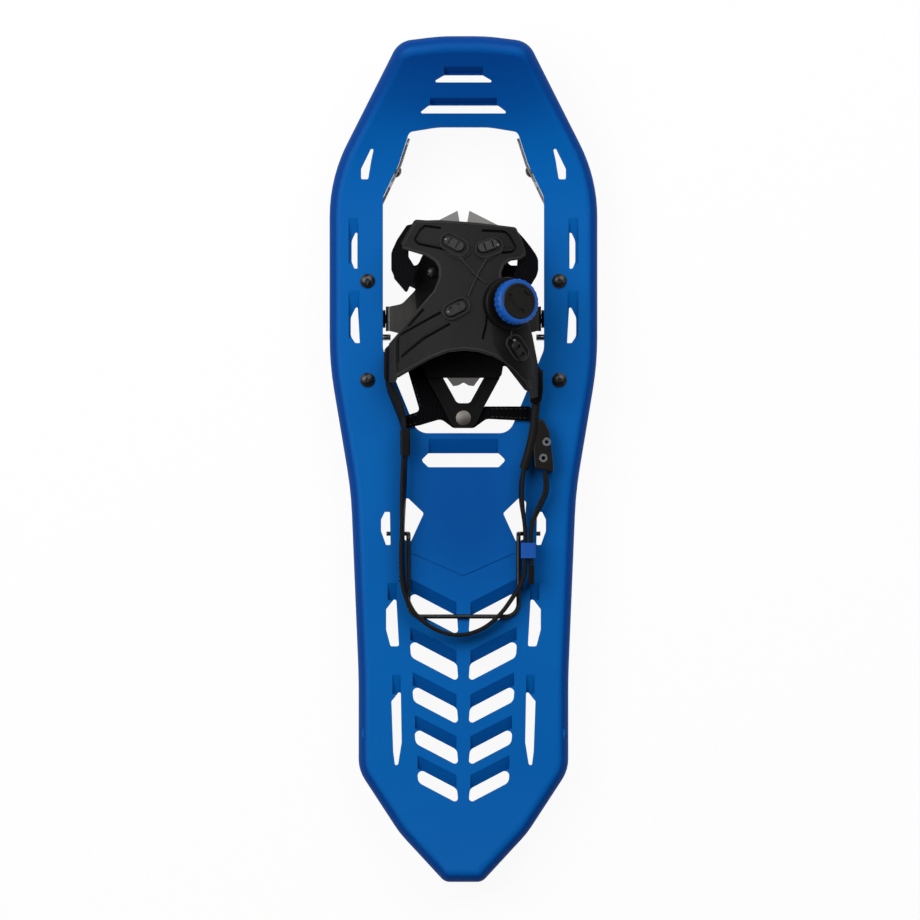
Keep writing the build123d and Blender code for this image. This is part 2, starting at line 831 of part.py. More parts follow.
def vault(half_span, rise):
    """The solid under an elliptical vault with straight legs, along the tilted axis."""
    arch = Ellipse(half_span, rise) & Pos(0, rise / 2) * Rectangle(2 * half_span, rise)
    legs = Pos(0, -15) * Rectangle(2 * half_span, 30)
    return extrude(vault_plane * (arch + legs), 110, both=True)


def vault_shell(half_span, rise, thickness):
    return vault(half_span, rise) - vault(half_span - thickness, rise - thickness)


def on_wrap(x, y, lift=0.0):
    """Point over plan position (x, y) on the wrap, and the outward normal there."""
    height = wrap_rise * sqrt(1 - (x / wrap_half_span) ** 2)
    z = wrap_spring_z - tan(tilt) * (y - pivot_y) + height / cos(tilt)
    across = x / wrap_half_span**2
    out = height / wrap_rise**2
    normal = Vector(across, out * sin(tilt), out * cos(tilt)).normalized()
    return Vector(x, y, z) + normal * lift, normal


def wrap_upper():
    span = wrap_half_span + 4
    corners = [
        (-38, 187), (41, 181), (50, 160), (35, 158.5), (27, 143), (47, 126), (52, 100),
        (span, 97), (span, 66),
    ]
    corner_radii = [3, 3, 3, 6, 12, 12, 10, 2, 2]
    left = [(-span, 66), (-span, 96), (-51, 97), (-17, 136), (-17, 150), (-28, 161), (-50, 167)]
    left_radii = [2, 2, 6, 20, 12, 10, 3]
    route = corners + [(47, 50)] + left
    plan = rounded(route, corner_radii + [3] + left_radii)
    arc_cut = make_face(
        ThreePointArc((44, 52), (0, 86), (-47, 62)).edges()
        + Polyline((-47, 62), (-70, 40), (44, 40), (44, 52)).edges()
    )
    shell = vault_shell(wrap_half_span, wrap_rise, wrap_thickness)
    return shell & prism(plan - arc_cut, base_top + seat, 130)


def toe_web(side):
    plan = rounded(
        [(36, 185), (48, 180), (60, 164), (60, 128), (45, 128), (43, 146), (40, 160), (34, 172)],
        [3, 8, 4, 2, 6, 10, 8, 3],
    )
    profile = make_face(
        Polyline((190, 110), (127, 110), (127, 40), (152, 40), (190, 84), close=True)
    )
    shell = vault_shell(wrap_half_span, web_rise, web_thickness)
    web = shell & prism(plan, base_top + seat, 130) & extrude(Plane.YZ * profile, 90, both=True)
    return web if side > 0 else mirror(web, Plane.YZ)


guide_places = [(-7.0, 167.6, -30.0), (18.4, 166.0, 20.0), (-5.8, 116.8, 27.0), (41.9, 84.0, -50.0)]


def lace_guides():
    guides = []
    for x, y, angle in guide_places:
        spot, normal = on_wrap(x, y, seat)
        toward = Vector(cos(radians(angle)), sin(radians(angle)), 0)
        toward = (toward - normal * toward.dot(normal)).normalized()
        place = Plane(spot, x_dir=toward, z_dir=normal).location
        block = extrude(SlotOverall(guide_length, guide_width), 3.0)
        block = fillet(block.edges().group_by(Axis.Z)[-1], 1.0)
        for slot_x in (-3.4, 3.4):
            block -= Pos(slot_x, 0, 2.2) * Box(2.6, guide_width - 2.6, 2.0)
        guides.append(place * block)
    return guides


def lace():
    runs = [
        [(12.5, 158.0), (9.6, 148.0), (6.8, 138.0), (3.6, 126.6)],
        [(1.6, 161.2), (7.4, 153.0), (13.0, 144.0), (17.0, 137.0)],
        [(37.0, 99.6), (36.6, 96.5), (36.0, 93.4)],
    ]
    laces = []
    for run in runs:
        points = [on_wrap(x, y, 1.3)[0] for x, y in run]
        path = FilletPolyline(*points, radius=9 if len(points) > 3 else 2)
        section = Plane(path @ 0, z_dir=path % 0) * Circle(lace_radius)
        laces.append(sweep(section, path))
    return laces


# ------------------------------------------------------------------ dial
def dial_place():
    spot, normal = on_wrap(dial_x, dial_y, seat)
    return Plane(spot, x_dir=(cos(tilt), 0, -normal.X / normal.Z * cos(tilt)), z_dir=normal).location


def dial_housing():
    flange = Pos(0, 0, -1.5) * Cylinder(housing_flange_radius, 8)
    flange = fillet(flange.edges().group_by(Axis.Z)[-1], 1.6)
    body = flange + Pos(0, 0, housing_height / 2) * Cylinder(housing_radius, housing_height)
    cavity_low = housing_height - spool_height - 1.4
    body -= Pos(0, 0, cavity_low + 10) * Cylinder(spool_radius + 1, 20)
    lace_port = Pos(housing_radius - 2, 0, cavity_low + 2) * Rot(0, 90, 0) * Cylinder(1.2, 10)
    for angle in (100, 190, 280):
        body -= Rot(0, 0, angle) * lace_port
    return dial_place() * body - vault(wrap_half_span + seat, wrap_rise + seat)


def lace_spool():
    low = housing_height - spool_height - 1.2
    profile = Polyline(
        (dial_pin_radius + running, low), (spool_radius, low), (spool_radius, low + 1),
        (spool_radius - 3, low + 1.6), (spool_radius - 3, low + spool_height - 1.6),
        (spool_radius, low + spool_height - 1), (spool_radius, low + spool_height),
        (dial_pin_radius + running, low + spool_height), close=True,
    )
    return dial_place() * revolve(Plane.XZ * make_face(profile), Axis.Z)


def dial_hub():
    pin_low = housing_height - spool_height - 1.2
    pin_high = housing_height + seat + dial_height - 3
    pin = Pos(0, 0, (pin_low + pin_high) / 2) * Cylinder(dial_pin_radius, pin_high - pin_low)
    collar_low = housing_height - 1.1
    collar_high = housing_height + seat
    middle = (collar_low + collar_high) / 2
    return dial_place() * (pin + Pos(0, 0, middle) * Cylinder(6.5, collar_high - collar_low))


def dial_ring():
    low = housing_height + seat
    high = low + dial_height
    outer = Pos(0, 0, (low + high) / 2) * Cylinder(dial_radius, dial_height)
    outer = chamfer(outer.edges().group_by(Axis.Z)[-1], 1.6)
    for step in range(dial_teeth):
        angle = 360 / dial_teeth * step
        groove = Pos(dial_radius + 1.1, 0, (low + high) / 2) * Cylinder(1.7, dial_height + 2)
        outer -= Rot(0, 0, angle) * groove
    outer -= Pos(0, 0, high) * Cylinder(dial_radius - 3.6, 5.6)
    outer -= Pos(0, 0, low) * Cylinder(dial_pin_radius + running, 20)
    return dial_place() * outer


def dial_cap():
    low = housing_height + seat + dial_height - 2.8
    radius = dial_radius - 3.6 - running
    cap = Pos(0, 0, low + 1.6) * Cylinder(radius, 3.2)
    cap = fillet(cap.edges().group_by(Axis.Z)[-1], 0.8)
    cap -= Pos(0, 0, low + 3.2) * (Cylinder(radius - 2, 1.2) - Cylinder(5.2, 3))
    for angle in (40, 160, 280):
        cap -= Rot(0, 0, angle) * Pos(8.4, 0, low + 3) * Box(3.6, 5.4, 3.0)
    return dial_place() * cap


# ------------------------------------------------------------------ heel strap and buckle
strap_route = [
    (-strap_start_x, 14), (-46.2, -10), (-47.3, -62), (-50.8, -84), (-49.5, -106), (-38, -124),
    (-22, -134.5), (-2.7, -138.5), (16, -133), (29, -119.5), (38, -106), (48, -92),
    (strap_run_x, -56), (45.9, -38), (46.4, -22), (48.8, -8), (52, 8), (54.2, 24), (56.6, 42),
    (60.3, 58), (60.3, 88),
]
strap_radii = [200, 60, 60, 40, 30, 30, 30, 30, 30, 60, 20, 30, 30, 60, 60, 60, 60, 60, 20]
tail_route = [
    (63.4, -9.2), (64.2, -24), (61.5, -36), (54.5, -52), (tail_run_x, -60), (tail_run_x, -82),
]


def strap_band(route, radii, low, high):
    return prism(trace(FilletPolyline(*route, radius=radii), strap_thickness), low, high)


def heel_strap():
    return strap_band(strap_route, strap_radii, strap_bottom, strap_top)


def side_strap():
    first = [(-strap_start_x, 15.5), (-strap_start_x, 27)]
    route = first + [(-48.5, 38), (-53.5, 49), (-60.3, 61), (-60.3, 90)]
    return strap_band(route, [12, 20, 40, 20], strap_bottom, strap_top)


def buckle_strap():
    return strap_band(tail_route, [18, 24, 20, 16], strap_bottom, strap_top)


def strap_end():
    thickness = strap_thickness + 1.4
    block = Box(thickness, strap_end_length, strap_width + 1)
    block = fillet(block.edges().filter_by(Axis.Z), 1.4)
    for step in range(4):
        for x in (-thickness / 2, thickness / 2):
            block -= Pos(x, 4.8 - 3 * step, 0) * Box(0.8, 1.2, strap_width - 2)
    return Pos(tail_run_x, strap_end_y, strap_middle) * block


def strap_sleeve():
    wide = strap_thickness + 1
    high = strap_width + 2 * seat
    block = Box(wide + 2 * sleeve_wall, sleeve_length, high + 2 * sleeve_wall)
    block = fillet(block.edges().filter_by(Axis.Y), sleeve_wall)
    block -= Box(wide, 2 * sleeve_length, high)
    return Pos(-strap_start_x, sleeve_y, strap_middle) * block


def strap_keeper():
    wide = tail_run_x - strap_run_x + strap_thickness + 2 * soft
    high = strap_width + 2 * soft
    loop = Box(wide + 2 * keeper_wall, keeper_length, high + 2 * keeper_wall)
    loop = fillet(loop.edges().filter_by(Axis.Y), 1.4)
    loop -= Box(wide, 2 * keeper_length, high)
    return Pos((strap_run_x + tail_run_x) / 2, keeper_y, strap_middle) * loop


def buckle():
    points = [(56.9, 30), (62.4, 32), (67.2, 22), (69.6, 2), (70.6, -10), (55.4, -7), (54.4, 8)]
    body = prism(rounded(points, [2, 2, 6, 8, 1.5, 1.5, 4]), buckle_bottom, buckle_top)
    body = fillet(body.edges().group_by(Axis.Z)[-1], 1.2)
    for x, y in buckle_rivet_places:
        body -= upright(buckle_rivet_radius + running, x, y, 0, sky)
    return body


def buckle_rivets():
    rivets = []
    for x, y in buckle_rivet_places:
        tube = upright(buckle_rivet_radius, x, y, buckle_bottom, buckle_top)
        flange = upright(buckle_rivet_radius + 0.7, x, y, buckle_top, buckle_top + 0.7)
        rivets.append(tube + flange - upright(buckle_rivet_radius - 1.1, x, y, 0, sky))
    return rivets


# ------------------------------------------------------------------ heel-lift bar
def heel_lift_bar():
    right = [
        (bar_end_x, bar_axis_y, bar_axis_z),
        (bar_leg_x, bar_axis_y, bar_axis_z),
        (bar_leg_x, bar_axis_y, bar_leg_z),
        (bar_leg_x, bar_back_y, bar_leg_z),
    ]
    left = [(-x, y, z) for x, y, z in reversed(right)]
    path = FilletPolyline(*right, *left, radius=[3.5, 4, 10, 10, 4, 3.5])
    section = Plane(path @ 0, z_dir=path % 0) * Circle(bar_radius)
    return sweep(section, path)


# ------------------------------------------------------------------ nodes
os.makedirs("parts", exist_ok=True)
write("deck", deck())
write("rail_left", rail(-1))
write("rail_right", rail(1))
write("deck_bolts", *deck_bolts())
write("deck_nuts", *deck_nuts())
write("rail_screws", *rail_screws())
write("rim_rivets", *rim_rivets())
write("pivot_pins", *pivot_pins())
write("pivot_bushings", *pivot_bushings())
write("stop_pins", *stop_pins())
write("heel_lift_bar", heel_lift_bar())
write("toe_crampon", toe_crampon())
write("heel_yoke", heel_yoke())
write("rear_strap", rear_strap())
write("disc_rivet", disc_rivet())
write("wrap_base", wrap_base())
write("footbed", footbed())
write("footbed_rivets", *footbed_rivets())
write("wrap_upper", wrap_upper())
write("toe_web_left", toe_web(-1))
write("toe_web_right", toe_web(1))
write("lace_guides", *lace_guides())
write("lace", *lace())
write("dial_housing", dial_housing())
write("lace_spool", lace_spool())
write("dial_hub", dial_hub())
write("dial_ring", dial_ring())
write("dial_cap", dial_cap())
write("heel_strap", heel_strap())
write("side_strap", side_strap())
write("buckle_strap", buckle_strap())
write("strap_end", strap_end())
write("strap_sleeve", strap_sleeve())
write("strap_keeper", strap_keeper())
write("buckle", buckle())
write("buckle_rivets", *buckle_rivets())
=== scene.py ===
# %% [markdown]
# # A snowshoe with a lace binding
# The hard pieces, such as the moulded deck, the steel rails and the dial, come from the CAD
# frame and only get their finishes here. The soft ones are modelled here: the wrap over the
# boot, the loops beside the toes, the straps and the lace.

# %% Load the frame
import bmesh
import bpy
import math
from mathutils import Matrix, Vector


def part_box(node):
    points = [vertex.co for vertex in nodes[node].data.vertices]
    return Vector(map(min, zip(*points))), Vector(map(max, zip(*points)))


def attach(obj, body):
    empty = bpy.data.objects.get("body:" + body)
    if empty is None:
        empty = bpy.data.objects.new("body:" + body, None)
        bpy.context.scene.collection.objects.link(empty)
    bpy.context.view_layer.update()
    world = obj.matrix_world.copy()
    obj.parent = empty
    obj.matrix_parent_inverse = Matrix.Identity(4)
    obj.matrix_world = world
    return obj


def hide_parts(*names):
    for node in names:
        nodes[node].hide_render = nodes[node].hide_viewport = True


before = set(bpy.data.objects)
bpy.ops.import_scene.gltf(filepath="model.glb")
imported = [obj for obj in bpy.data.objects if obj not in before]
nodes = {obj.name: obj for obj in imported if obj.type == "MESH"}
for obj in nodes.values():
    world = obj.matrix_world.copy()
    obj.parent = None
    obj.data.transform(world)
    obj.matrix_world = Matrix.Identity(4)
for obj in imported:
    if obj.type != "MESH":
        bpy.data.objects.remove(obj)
scene = bpy.context.scene
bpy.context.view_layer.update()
MM = 0.001

# %% [markdown]
# ## Camera
# The shoe lies flat and is seen from straight above. A short lens near the shoe would make
# the dial look huge beside the deck. A long lens from far away keeps the toe, the tail and
# the top of the wrap at one scale, so the picture shows true proportions.

# %% Camera straight above
picture_width = 719 * MM
picture_centre = (-2.7 * MM, -0.4 * MM)
lens_mm, sensor_mm = 600, 36
bolt_head = 3 * MM  # the bolts' domed heads stand about this far above the deck
deck_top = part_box("deck_bolts")[1].z - bolt_head
camera_data = bpy.data.cameras.new("camera_above")
camera_data.lens = lens_mm
camera_data.sensor_width = sensor_mm
camera_data.clip_end = 100
camera = bpy.data.objects.new("camera_above", camera_data)
camera.location = (*picture_centre, deck_top + picture_width * lens_mm / sensor_mm)
scene.collection.objects.link(camera)
scene.camera = camera
scene.view_settings.view_transform = "Standard"
print("camera height in m:", round(camera.location.z, 3))

# %% [markdown]
# ## Colours and nodes
# Colours are written as sRGB hex values, as a paint chart gives them, and one function turns
# them into the linear values that the shaders work in. A second one adds a shader node with
# its settings and links, so that a finish reads as a short list.

# %% Helpers for finishes
def srgb(code):
    """The linear red, green, blue and alpha of an sRGB hex colour."""
    channels = [int(code[i : i + 2], 16) / 255 for i in (1, 3, 5)]
    return [c / 12.92 if c <= 0.04045 else ((c + 0.055) / 1.055) ** 2.4 for c in channels] + [1]


def node(tree, kind, inputs=(), **settings):
    """Adds a node. settings are its properties, and inputs the values or links of its sockets."""
    made = tree.nodes.new(kind)
    for name, value in settings.items():
        setattr(made, name, value)
    for name, value in dict(inputs).items():
        if isinstance(value, bpy.types.NodeSocket):
            tree.links.new(value, made.inputs[name])
        else:
            made.inputs[name].default_value = value
    return made


def start_finish(name, sockets):
    """A material with one Principled shader, and the Object coordinates its patterns read."""
    material = bpy.data.materials.new(name)
    material.use_nodes = True
    tree = material.node_tree
    tree.nodes.clear()
    shader = node(tree, "ShaderNodeBsdfPrincipled", sockets)
    node(tree, "ShaderNodeOutputMaterial", {"Surface": shader.outputs[0]})
    place = node(tree, "ShaderNodeTexCoord").outputs["Object"]
    return material, tree, shader, place


MIX_A, MIX_B, MIX_RESULT = 6, 7, 2  # the colour sockets of a Mix node


def mixed(tree, factor, first, second):
    """The colour between two, each a hex value or another node's output."""
    made = node(tree, "ShaderNodeMix", {"Factor": factor}, data_type="RGBA")
    for socket, colour in ((MIX_A, first), (MIX_B, second)):
        if isinstance(colour, str):
            made.inputs[socket].default_value = srgb(colour)
        else:
            tree.links.new(colour, made.inputs[socket])
    return made.outputs[MIX_RESULT]


# %% [markdown]
# ## Moulded plastics
# The deck is injection-moulded nylon. Its mould is spark-eroded, which leaves a fine even
# grain that breaks up the gloss, and snow and rock leave thin scratches along the shoe. A
# plain colour would look like paint, so three patterns lie over it: a slow drift of colour,
# the grain in the bump and the roughness, and scratches that are paler than the rest. The
# deck also carries painted shade: a deeper blue on its steep faces, as if they were turned
# from the light, and a darker patch on the heel pad, where the wrap's shadow falls. A second
# darker patch lies at the toe.

# %% Moulded plastic
scratch_gap, scratch_length = 1.5 * MM, 40 * MM
scratch_from, scratch_to = 0.60, 0.74  # only the peaks of the noise become scratches
# The painted shade of slopes starts at the first of these and is full at the second
flat_upward, steep_upward = 0.995, 0.88  # how far up a face looks, from 1 on a level one
# Painted shade on the heel pad, where the wrap's shadow falls, and a darker patch at the toe
darker_patches = {"heel": ((0, -30), (75, 110)), "toe": ((0, 300), (110, 70))}  # centre, reach in mm
darker_patch_strength = 0.6


def darker_patch(tree, place, centre_mm, reach_mm):
    """1 in the middle of an ellipse, fading to 0 at its edge."""
    move = [-centre / reach for centre, reach in zip(centre_mm, reach_mm)] + [0]
    scale = [1 / (reach * MM) for reach in reach_mm] + [0]
    moved = node(tree, "ShaderNodeMapping", {"Vector": place, "Location": move, "Scale": scale})
    away = node(tree, "ShaderNodeVectorMath", {0: moved.outputs[0]}, operation="LENGTH")
    fade = {"Value": away.outputs["Value"], "From Min": 1.0, "From Max": 0.2}
    return node(tree, "ShaderNodeMapRange", fade, interpolation_type="SMOOTHSTEP").outputs[0]


def moulded(name, colour, drift, scuff, grain_mm, roughness, gloss, scratched=0.0, darker_blue=None):
    """Moulded plastic: a drifting colour, mould grain, scratches, and with darker_blue, painted
    shade.
    """
    sockets = {"Specular IOR Level": gloss, "IOR": 1.5}
    material, tree, shader, place = start_finish(name, sockets)
    slow = node(
        tree, "ShaderNodeTexNoise", {"Vector": place, "Scale": 1 / (90 * MM), "Detail": 2.0}
    )
    colour_now = mixed(tree, slow.outputs["Fac"], colour, drift)
    grain = node(
        tree, "ShaderNodeTexNoise",
        {"Vector": place, "Scale": 1 / (grain_mm * MM), "Detail": 3.0},
    )
    bump = node(
        tree, "ShaderNodeBump",
        {"Height": grain.outputs["Fac"], "Strength": 0.5, "Distance": 0.06 * grain_mm * MM},
    )
    along_shoe = (1 / scratch_gap, 1 / scratch_length, 1 / scratch_gap)
    stretch = node(tree, "ShaderNodeMapping", {"Vector": place, "Scale": along_shoe})
    lines = node(
        tree, "ShaderNodeTexNoise", {"Vector": stretch.outputs[0], "Scale": 1.0, "Detail": 2.0}
    )
    peaks = {"Value": lines.outputs["Fac"], "From Min": scratch_from, "From Max": scratch_to}
    worn = node(tree, "ShaderNodeMapRange", {**peaks, "To Max": scratched})
    colour_now = mixed(tree, worn.outputs[0], colour_now, scuff)
    if darker_blue:
        # Painted shade: the steeper a face, the more it turns to the darker blue
        facing = node(tree, "ShaderNodeTexCoord").outputs["Normal"]
        upward = node(tree, "ShaderNodeSeparateXYZ", {0: facing}).outputs["Z"]
        turned = {"Value": upward, "From Min": flat_upward, "From Max": steep_upward}
        slope_shade = node(tree, "ShaderNodeMapRange", turned)
        colour_now = mixed(tree, slope_shade.outputs[0], colour_now, darker_blue)
        # Painted shade on the heel pad behind the wrap, and a darker patch at the toe, in the same
        # blue
        heel, toe = [darker_patch(tree, place, *ellipse) for ellipse in darker_patches.values()]
        pads = node(tree, "ShaderNodeMath", {0: heel, 1: toe}, operation="MAXIMUM")
        faded = {0: pads.outputs[0], 1: darker_patch_strength}
        part = node(tree, "ShaderNodeMath", faded, operation="MULTIPLY")
        colour_now = mixed(tree, part.outputs[0], colour_now, darker_blue)
    rough = node(
        tree, "ShaderNodeMapRange",
        {"Value": grain.outputs["Fac"], "To Min": roughness - 0.06, "To Max": roughness + 0.08},
    )
    tree.links.new(colour_now, shader.inputs["Base Color"])
    tree.links.new(rough.outputs[0], shader.inputs["Roughness"])
    tree.links.new(bump.outputs[0], shader.inputs["Normal"])
    return material


# The deck's grain is really about 0.3 mm, drawn at 1.2 mm so that it shows from this far
deck_nylon = moulded(
    "spark_eroded_blue_nylon", "#0161ae", "#0158a6", "#1f6cbc", 1.2, 0.46, 0.06, 0.10, darker_blue="#013e88"
)
dial_nylon = moulded("bright_blue_nylon", "#1656aa", "#104a9c", "#3a76c4", 0.8, 0.40, 0.18, 0.10)
acetal = moulded("black_acetal", "#0c0c0d", "#121213", "#262628", 0.9, 0.40, 0.10, 0.15)
polished_acetal = moulded(
    "polished_black_acetal", "#161514", "#1c1b1a", "#2e2d2c", 0.6, 0.28, 0.22, 0.10
)
print("plastics:", deck_nylon.name, dial_nylon.name, acetal.name, polished_acetal.name)

# %% [markdown]
# ## Steels
# The rails and the crampon are stamped from sheet. Rolling leaves fine lines in one direction,
# so a noise stretched along the sheet drives the roughness and a faint bump. The crampon is
# darker further back and paler on its front points. The screws have a black oxide film and the
# wire is painted, and both wear through to bare metal in small spots.

# %% Rolled sheet steel and black oxide
line_stretch = 60  # a rolling line is this many times as long as it is wide


def start_rolled(name, line_mm, roughness, along=1):
    """Bare metal with rolling lines along one axis, 0 for X and 1 for Y, and no colour yet."""
    material, tree, shader, place = start_finish(name, {"Metallic": 1.0})
    scale = [1 / (line_mm * MM)] * 3
    scale[along] = 1 / (line_stretch * line_mm * MM)
    stretch = node(tree, "ShaderNodeMapping", {"Vector": place, "Scale": scale})
    lines = node(
        tree, "ShaderNodeTexNoise", {"Vector": stretch.outputs[0], "Scale": 1.0, "Detail": 3.0}
    )
    rough = node(
        tree, "ShaderNodeMapRange",
        {"Value": lines.outputs["Fac"], "To Min": roughness - 0.1, "To Max": roughness + 0.12},
    )
    tree.links.new(rough.outputs[0], shader.inputs["Roughness"])
    bump = node(
        tree, "ShaderNodeBump",
        {"Height": lines.outputs["Fac"], "Strength": 0.3, "Distance": 0.03 * MM},
    )
    tree.links.new(bump.outputs[0], shader.inputs["Normal"])
    return material, tree, shader, place


def rolled(name, colour, drift, line_mm, roughness, along=1):
    """Rolled metal whose colour drifts to a second one in clouds about 18 mm wide."""
    material, tree, shader, place = start_rolled(name, line_mm, roughness, along)
    slow = node(
        tree, "ShaderNodeTexNoise", {"Vector": place, "Scale": 1 / (18 * MM), "Detail": 3.0}
    )
    tree.links.new(mixed(tree, slow.outputs["Fac"], colour, drift), shader.inputs["Base Color"])
    return material


def paler_front_steel(name, dark, bare, line_mm, roughness, from_mm, to_mm, ragged_mm=10):
    """Dark tempered steel that turns paler on its front points, past a place along Y."""
    material, tree, shader, place = start_rolled(name, line_mm, roughness)
    forward = node(tree, "ShaderNodeSeparateXYZ", {0: place}).outputs["Y"]
    patches = node(
        tree, "ShaderNodeTexNoise", {"Vector": place, "Scale": 1 / (6 * MM), "Detail": 4.0}
    )
    shifted = {0: patches.outputs["Fac"], 1: ragged_mm * MM, 2: forward}
    ragged = node(tree, "ShaderNodeMath", shifted, operation="MULTIPLY_ADD")
    border = {"Value": ragged.outputs[0], "From Min": from_mm * MM, "From Max": to_mm * MM}
    worn = node(tree, "ShaderNodeMapRange", border)
    tree.links.new(mixed(tree, worn.outputs[0], dark, bare), shader.inputs["Base Color"])
    return material


spot_size = 2 * MM
spot_from, spot_to = 0.62, 0.70  # only the peaks of the noise wear through


def oxidised(name, colour, bare, roughness, wear):
    """A black film on steel, worn through to bare metal in small spots."""
    material, tree, shader, place = start_finish(name, {"Roughness": roughness})
    spots = node(
        tree, "ShaderNodeTexNoise", {"Vector": place, "Scale": 1 / spot_size, "Detail": 4.0}
    )
    peaks = {"Value": spots.outputs["Fac"], "From Min": spot_from, "From Max": spot_to}
    worn = node(tree, "ShaderNodeMapRange", {**peaks, "To Max": wear})
    tree.links.new(mixed(tree, worn.outputs[0], colour, bare), shader.inputs["Base Color"])
    tree.links.new(worn.outputs[0], shader.inputs["Metallic"])
    bump = node(
        tree, "ShaderNodeBump",
        {"Height": spots.outputs["Fac"], "Strength": 0.2, "Distance": 0.05 * MM},
    )
    tree.links.new(bump.outputs[0], shader.inputs["Normal"])
    return material


rail_steel = rolled("rolled_stainless_steel", "#aeafb4", "#94959a", 0.35, 0.34)
claw_steel = paler_front_steel("tempered_tool_steel", "#4c4a49", "#949290", 0.4, 0.36, 176, 190)
pin_steel = rolled("turned_steel", "#c6c6c7", "#a6a6a8", 0.3, 0.28, along=0)
rivet_aluminium = rolled("dull_aluminium", "#7a7672", "#666260", 0.5, 0.5, along=0)
black_steel = oxidised("black_oxide_steel", "#0d0d0f", "#8a8a8c", 0.34, 0.5)
black_wire = oxidised("painted_steel_wire", "#0f1013", "#6b6b6e", 0.36, 0.4)
print("metals:", rail_steel.name, claw_steel.name, pin_steel.name, black_steel.name)

# %% [markdown]
# ## Soft black finishes
# The wrap is soft polyurethane with a fine pebble grain, like the upper of a boot. The loops
# are woven nylon webbing, whose ribs cross the strap, and the heel strap is smooth rubber with
# a dusty bloom. All are black, so the eye tells them apart by grain, sheen and gloss alone.

# %% Polyurethane, webbing and rubber
def pebbled(name, colour, drift, pebble_mm, roughness, gloss=0.10):
    """Soft polyurethane with pebbles that a Voronoi pattern rounds off."""
    material, tree, shader, place = start_finish(name, {"Specular IOR Level": gloss, "IOR": 1.5})
    cells = node(
        tree, "ShaderNodeTexVoronoi",
        {"Vector": place, "Scale": 1 / (pebble_mm * MM)}, feature="SMOOTH_F1",
    )
    slow = node(
        tree, "ShaderNodeTexNoise", {"Vector": place, "Scale": 1 / (14 * MM), "Detail": 3.0}
    )
    tree.links.new(mixed(tree, slow.outputs["Fac"], colour, drift), shader.inputs["Base Color"])
    bump = node(
        tree, "ShaderNodeBump",
        {"Height": cells.outputs["Distance"], "Strength": 0.35, "Distance": -0.12 * pebble_mm * MM},
    )
    tree.links.new(bump.outputs[0], shader.inputs["Normal"])
    rough = node(
        tree, "ShaderNodeMapRange",
        {"Value": slow.outputs["Fac"], "To Min": roughness - 0.08, "To Max": roughness + 0.08},
    )
    tree.links.new(rough.outputs[0], shader.inputs["Roughness"])
    return material


unit_wave = 0.314  # a wave texture of scale 1 repeats every 0.314 m
weave_turn = math.radians(8)


def woven(name, colour, drift, thread_mm):
    """Webbing: threads across and along, as two crossed waves that make the bump."""
    sockets = {"Roughness": 0.8, "Specular IOR Level": 0.06}
    material, tree, shader, place = start_finish(name, sockets)
    turn = node(tree, "ShaderNodeMapping", {"Vector": place, "Rotation": (0, 0, weave_turn)})
    wave_scale = unit_wave / (thread_mm * MM)
    across = {"Vector": turn.outputs[0], "Scale": wave_scale}
    weft = node(tree, "ShaderNodeTexWave", across, bands_direction="Y")
    along = {"Vector": turn.outputs[0], "Scale": wave_scale / 2}
    warp = node(tree, "ShaderNodeTexWave", along, bands_direction="X")
    crossed = {0: weft.outputs["Fac"], 1: warp.outputs["Fac"]}
    height = node(tree, "ShaderNodeMath", crossed, operation="MULTIPLY")
    tree.links.new(mixed(tree, height.outputs[0], colour, drift), shader.inputs["Base Color"])
    bump = node(
        tree, "ShaderNodeBump",
        {"Height": height.outputs[0], "Strength": 0.7, "Distance": 0.35 * thread_mm * MM},
    )
    tree.links.new(bump.outputs[0], shader.inputs["Normal"])
    return material


soft_pu = pebbled("pebbled_soft_polyurethane", "#1f1f1f", "#262626", 1.1, 0.55, 0.05)
edge_pu = pebbled("smooth_polyurethane_edge", "#232324", "#2b2b2c", 0.8, 0.42, 0.12)
glossy_rubber = pebbled("glossy_moulded_rubber", "#0a0a0b", "#0f0f10", 0.9, 0.34, 0.08)
# The webbing's threads are really 0.8 mm apart, drawn at 1.6 mm so that they show
webbing = woven("woven_nylon_webbing", "#050507", "#0d0d10", 1.6)
strap_rubber = pebbled("bloomed_strap_rubber", "#121111", "#1c1a19", 1.6, 0.50, 0.08)
foam = pebbled("closed_cell_foam", "#0e0e0f", "#151516", 1.4, 0.72, 0.1)
braid = woven("braided_lace", "#2c2c2e", "#4a4a4c", 0.6)
print("soft finishes:", soft_pu.name, webbing.name, strap_rubber.name, foam.name)

# %% [markdown]
# ## Finishes on the hard pieces
# Every hard piece keeps its CAD shape and gets its finish by name. Their meshes come in as
# loose triangles whose corners already carry the shading of round and flat faces.

# %% Give each hard piece its finish
hard_finishes = {
    deck_nylon: ["deck"],
    dial_nylon: ["dial_ring", "strap_keeper"],
    acetal: [
        "heel_yoke", "pivot_bushings", "strap_sleeve", "strap_end", "dial_hub", "lace_spool",
        "dial_housing",
    ],
    polished_acetal: ["lace_guides", "dial_cap", "buckle"],
    rail_steel: ["rail_left", "rail_right"],
    claw_steel: ["toe_crampon"],
    pin_steel: ["pivot_pins", "stop_pins", "buckle_rivets"],
    rivet_aluminium: ["disc_rivet"],
    black_steel: ["deck_bolts", "deck_nuts", "rail_screws", "rim_rivets", "footbed_rivets"],
    black_wire: ["heel_lift_bar"],
    foam: ["footbed"],
}
for finish, names in hard_finishes.items():
    for name in names:
        nodes[name].data.materials.clear()
        nodes[name].data.materials.append(finish)
print("hard pieces finished:", sum(len(names) for names in hard_finishes.values()))

# %% [markdown]
# ## The vault of the wrap
# The wrap is moulded to the shape of a boot's instep: an elliptical arch that falls towards
# the toe. It could be sculpted, but then nothing else would fit it. Instead a flat slab is
# laid out in its own three directions, round the arch, along it and through its thickness,
# and every corner is then carried to its place on the arch. The plan outline is cut out of
# that shell last, as a knife cuts a moulding.

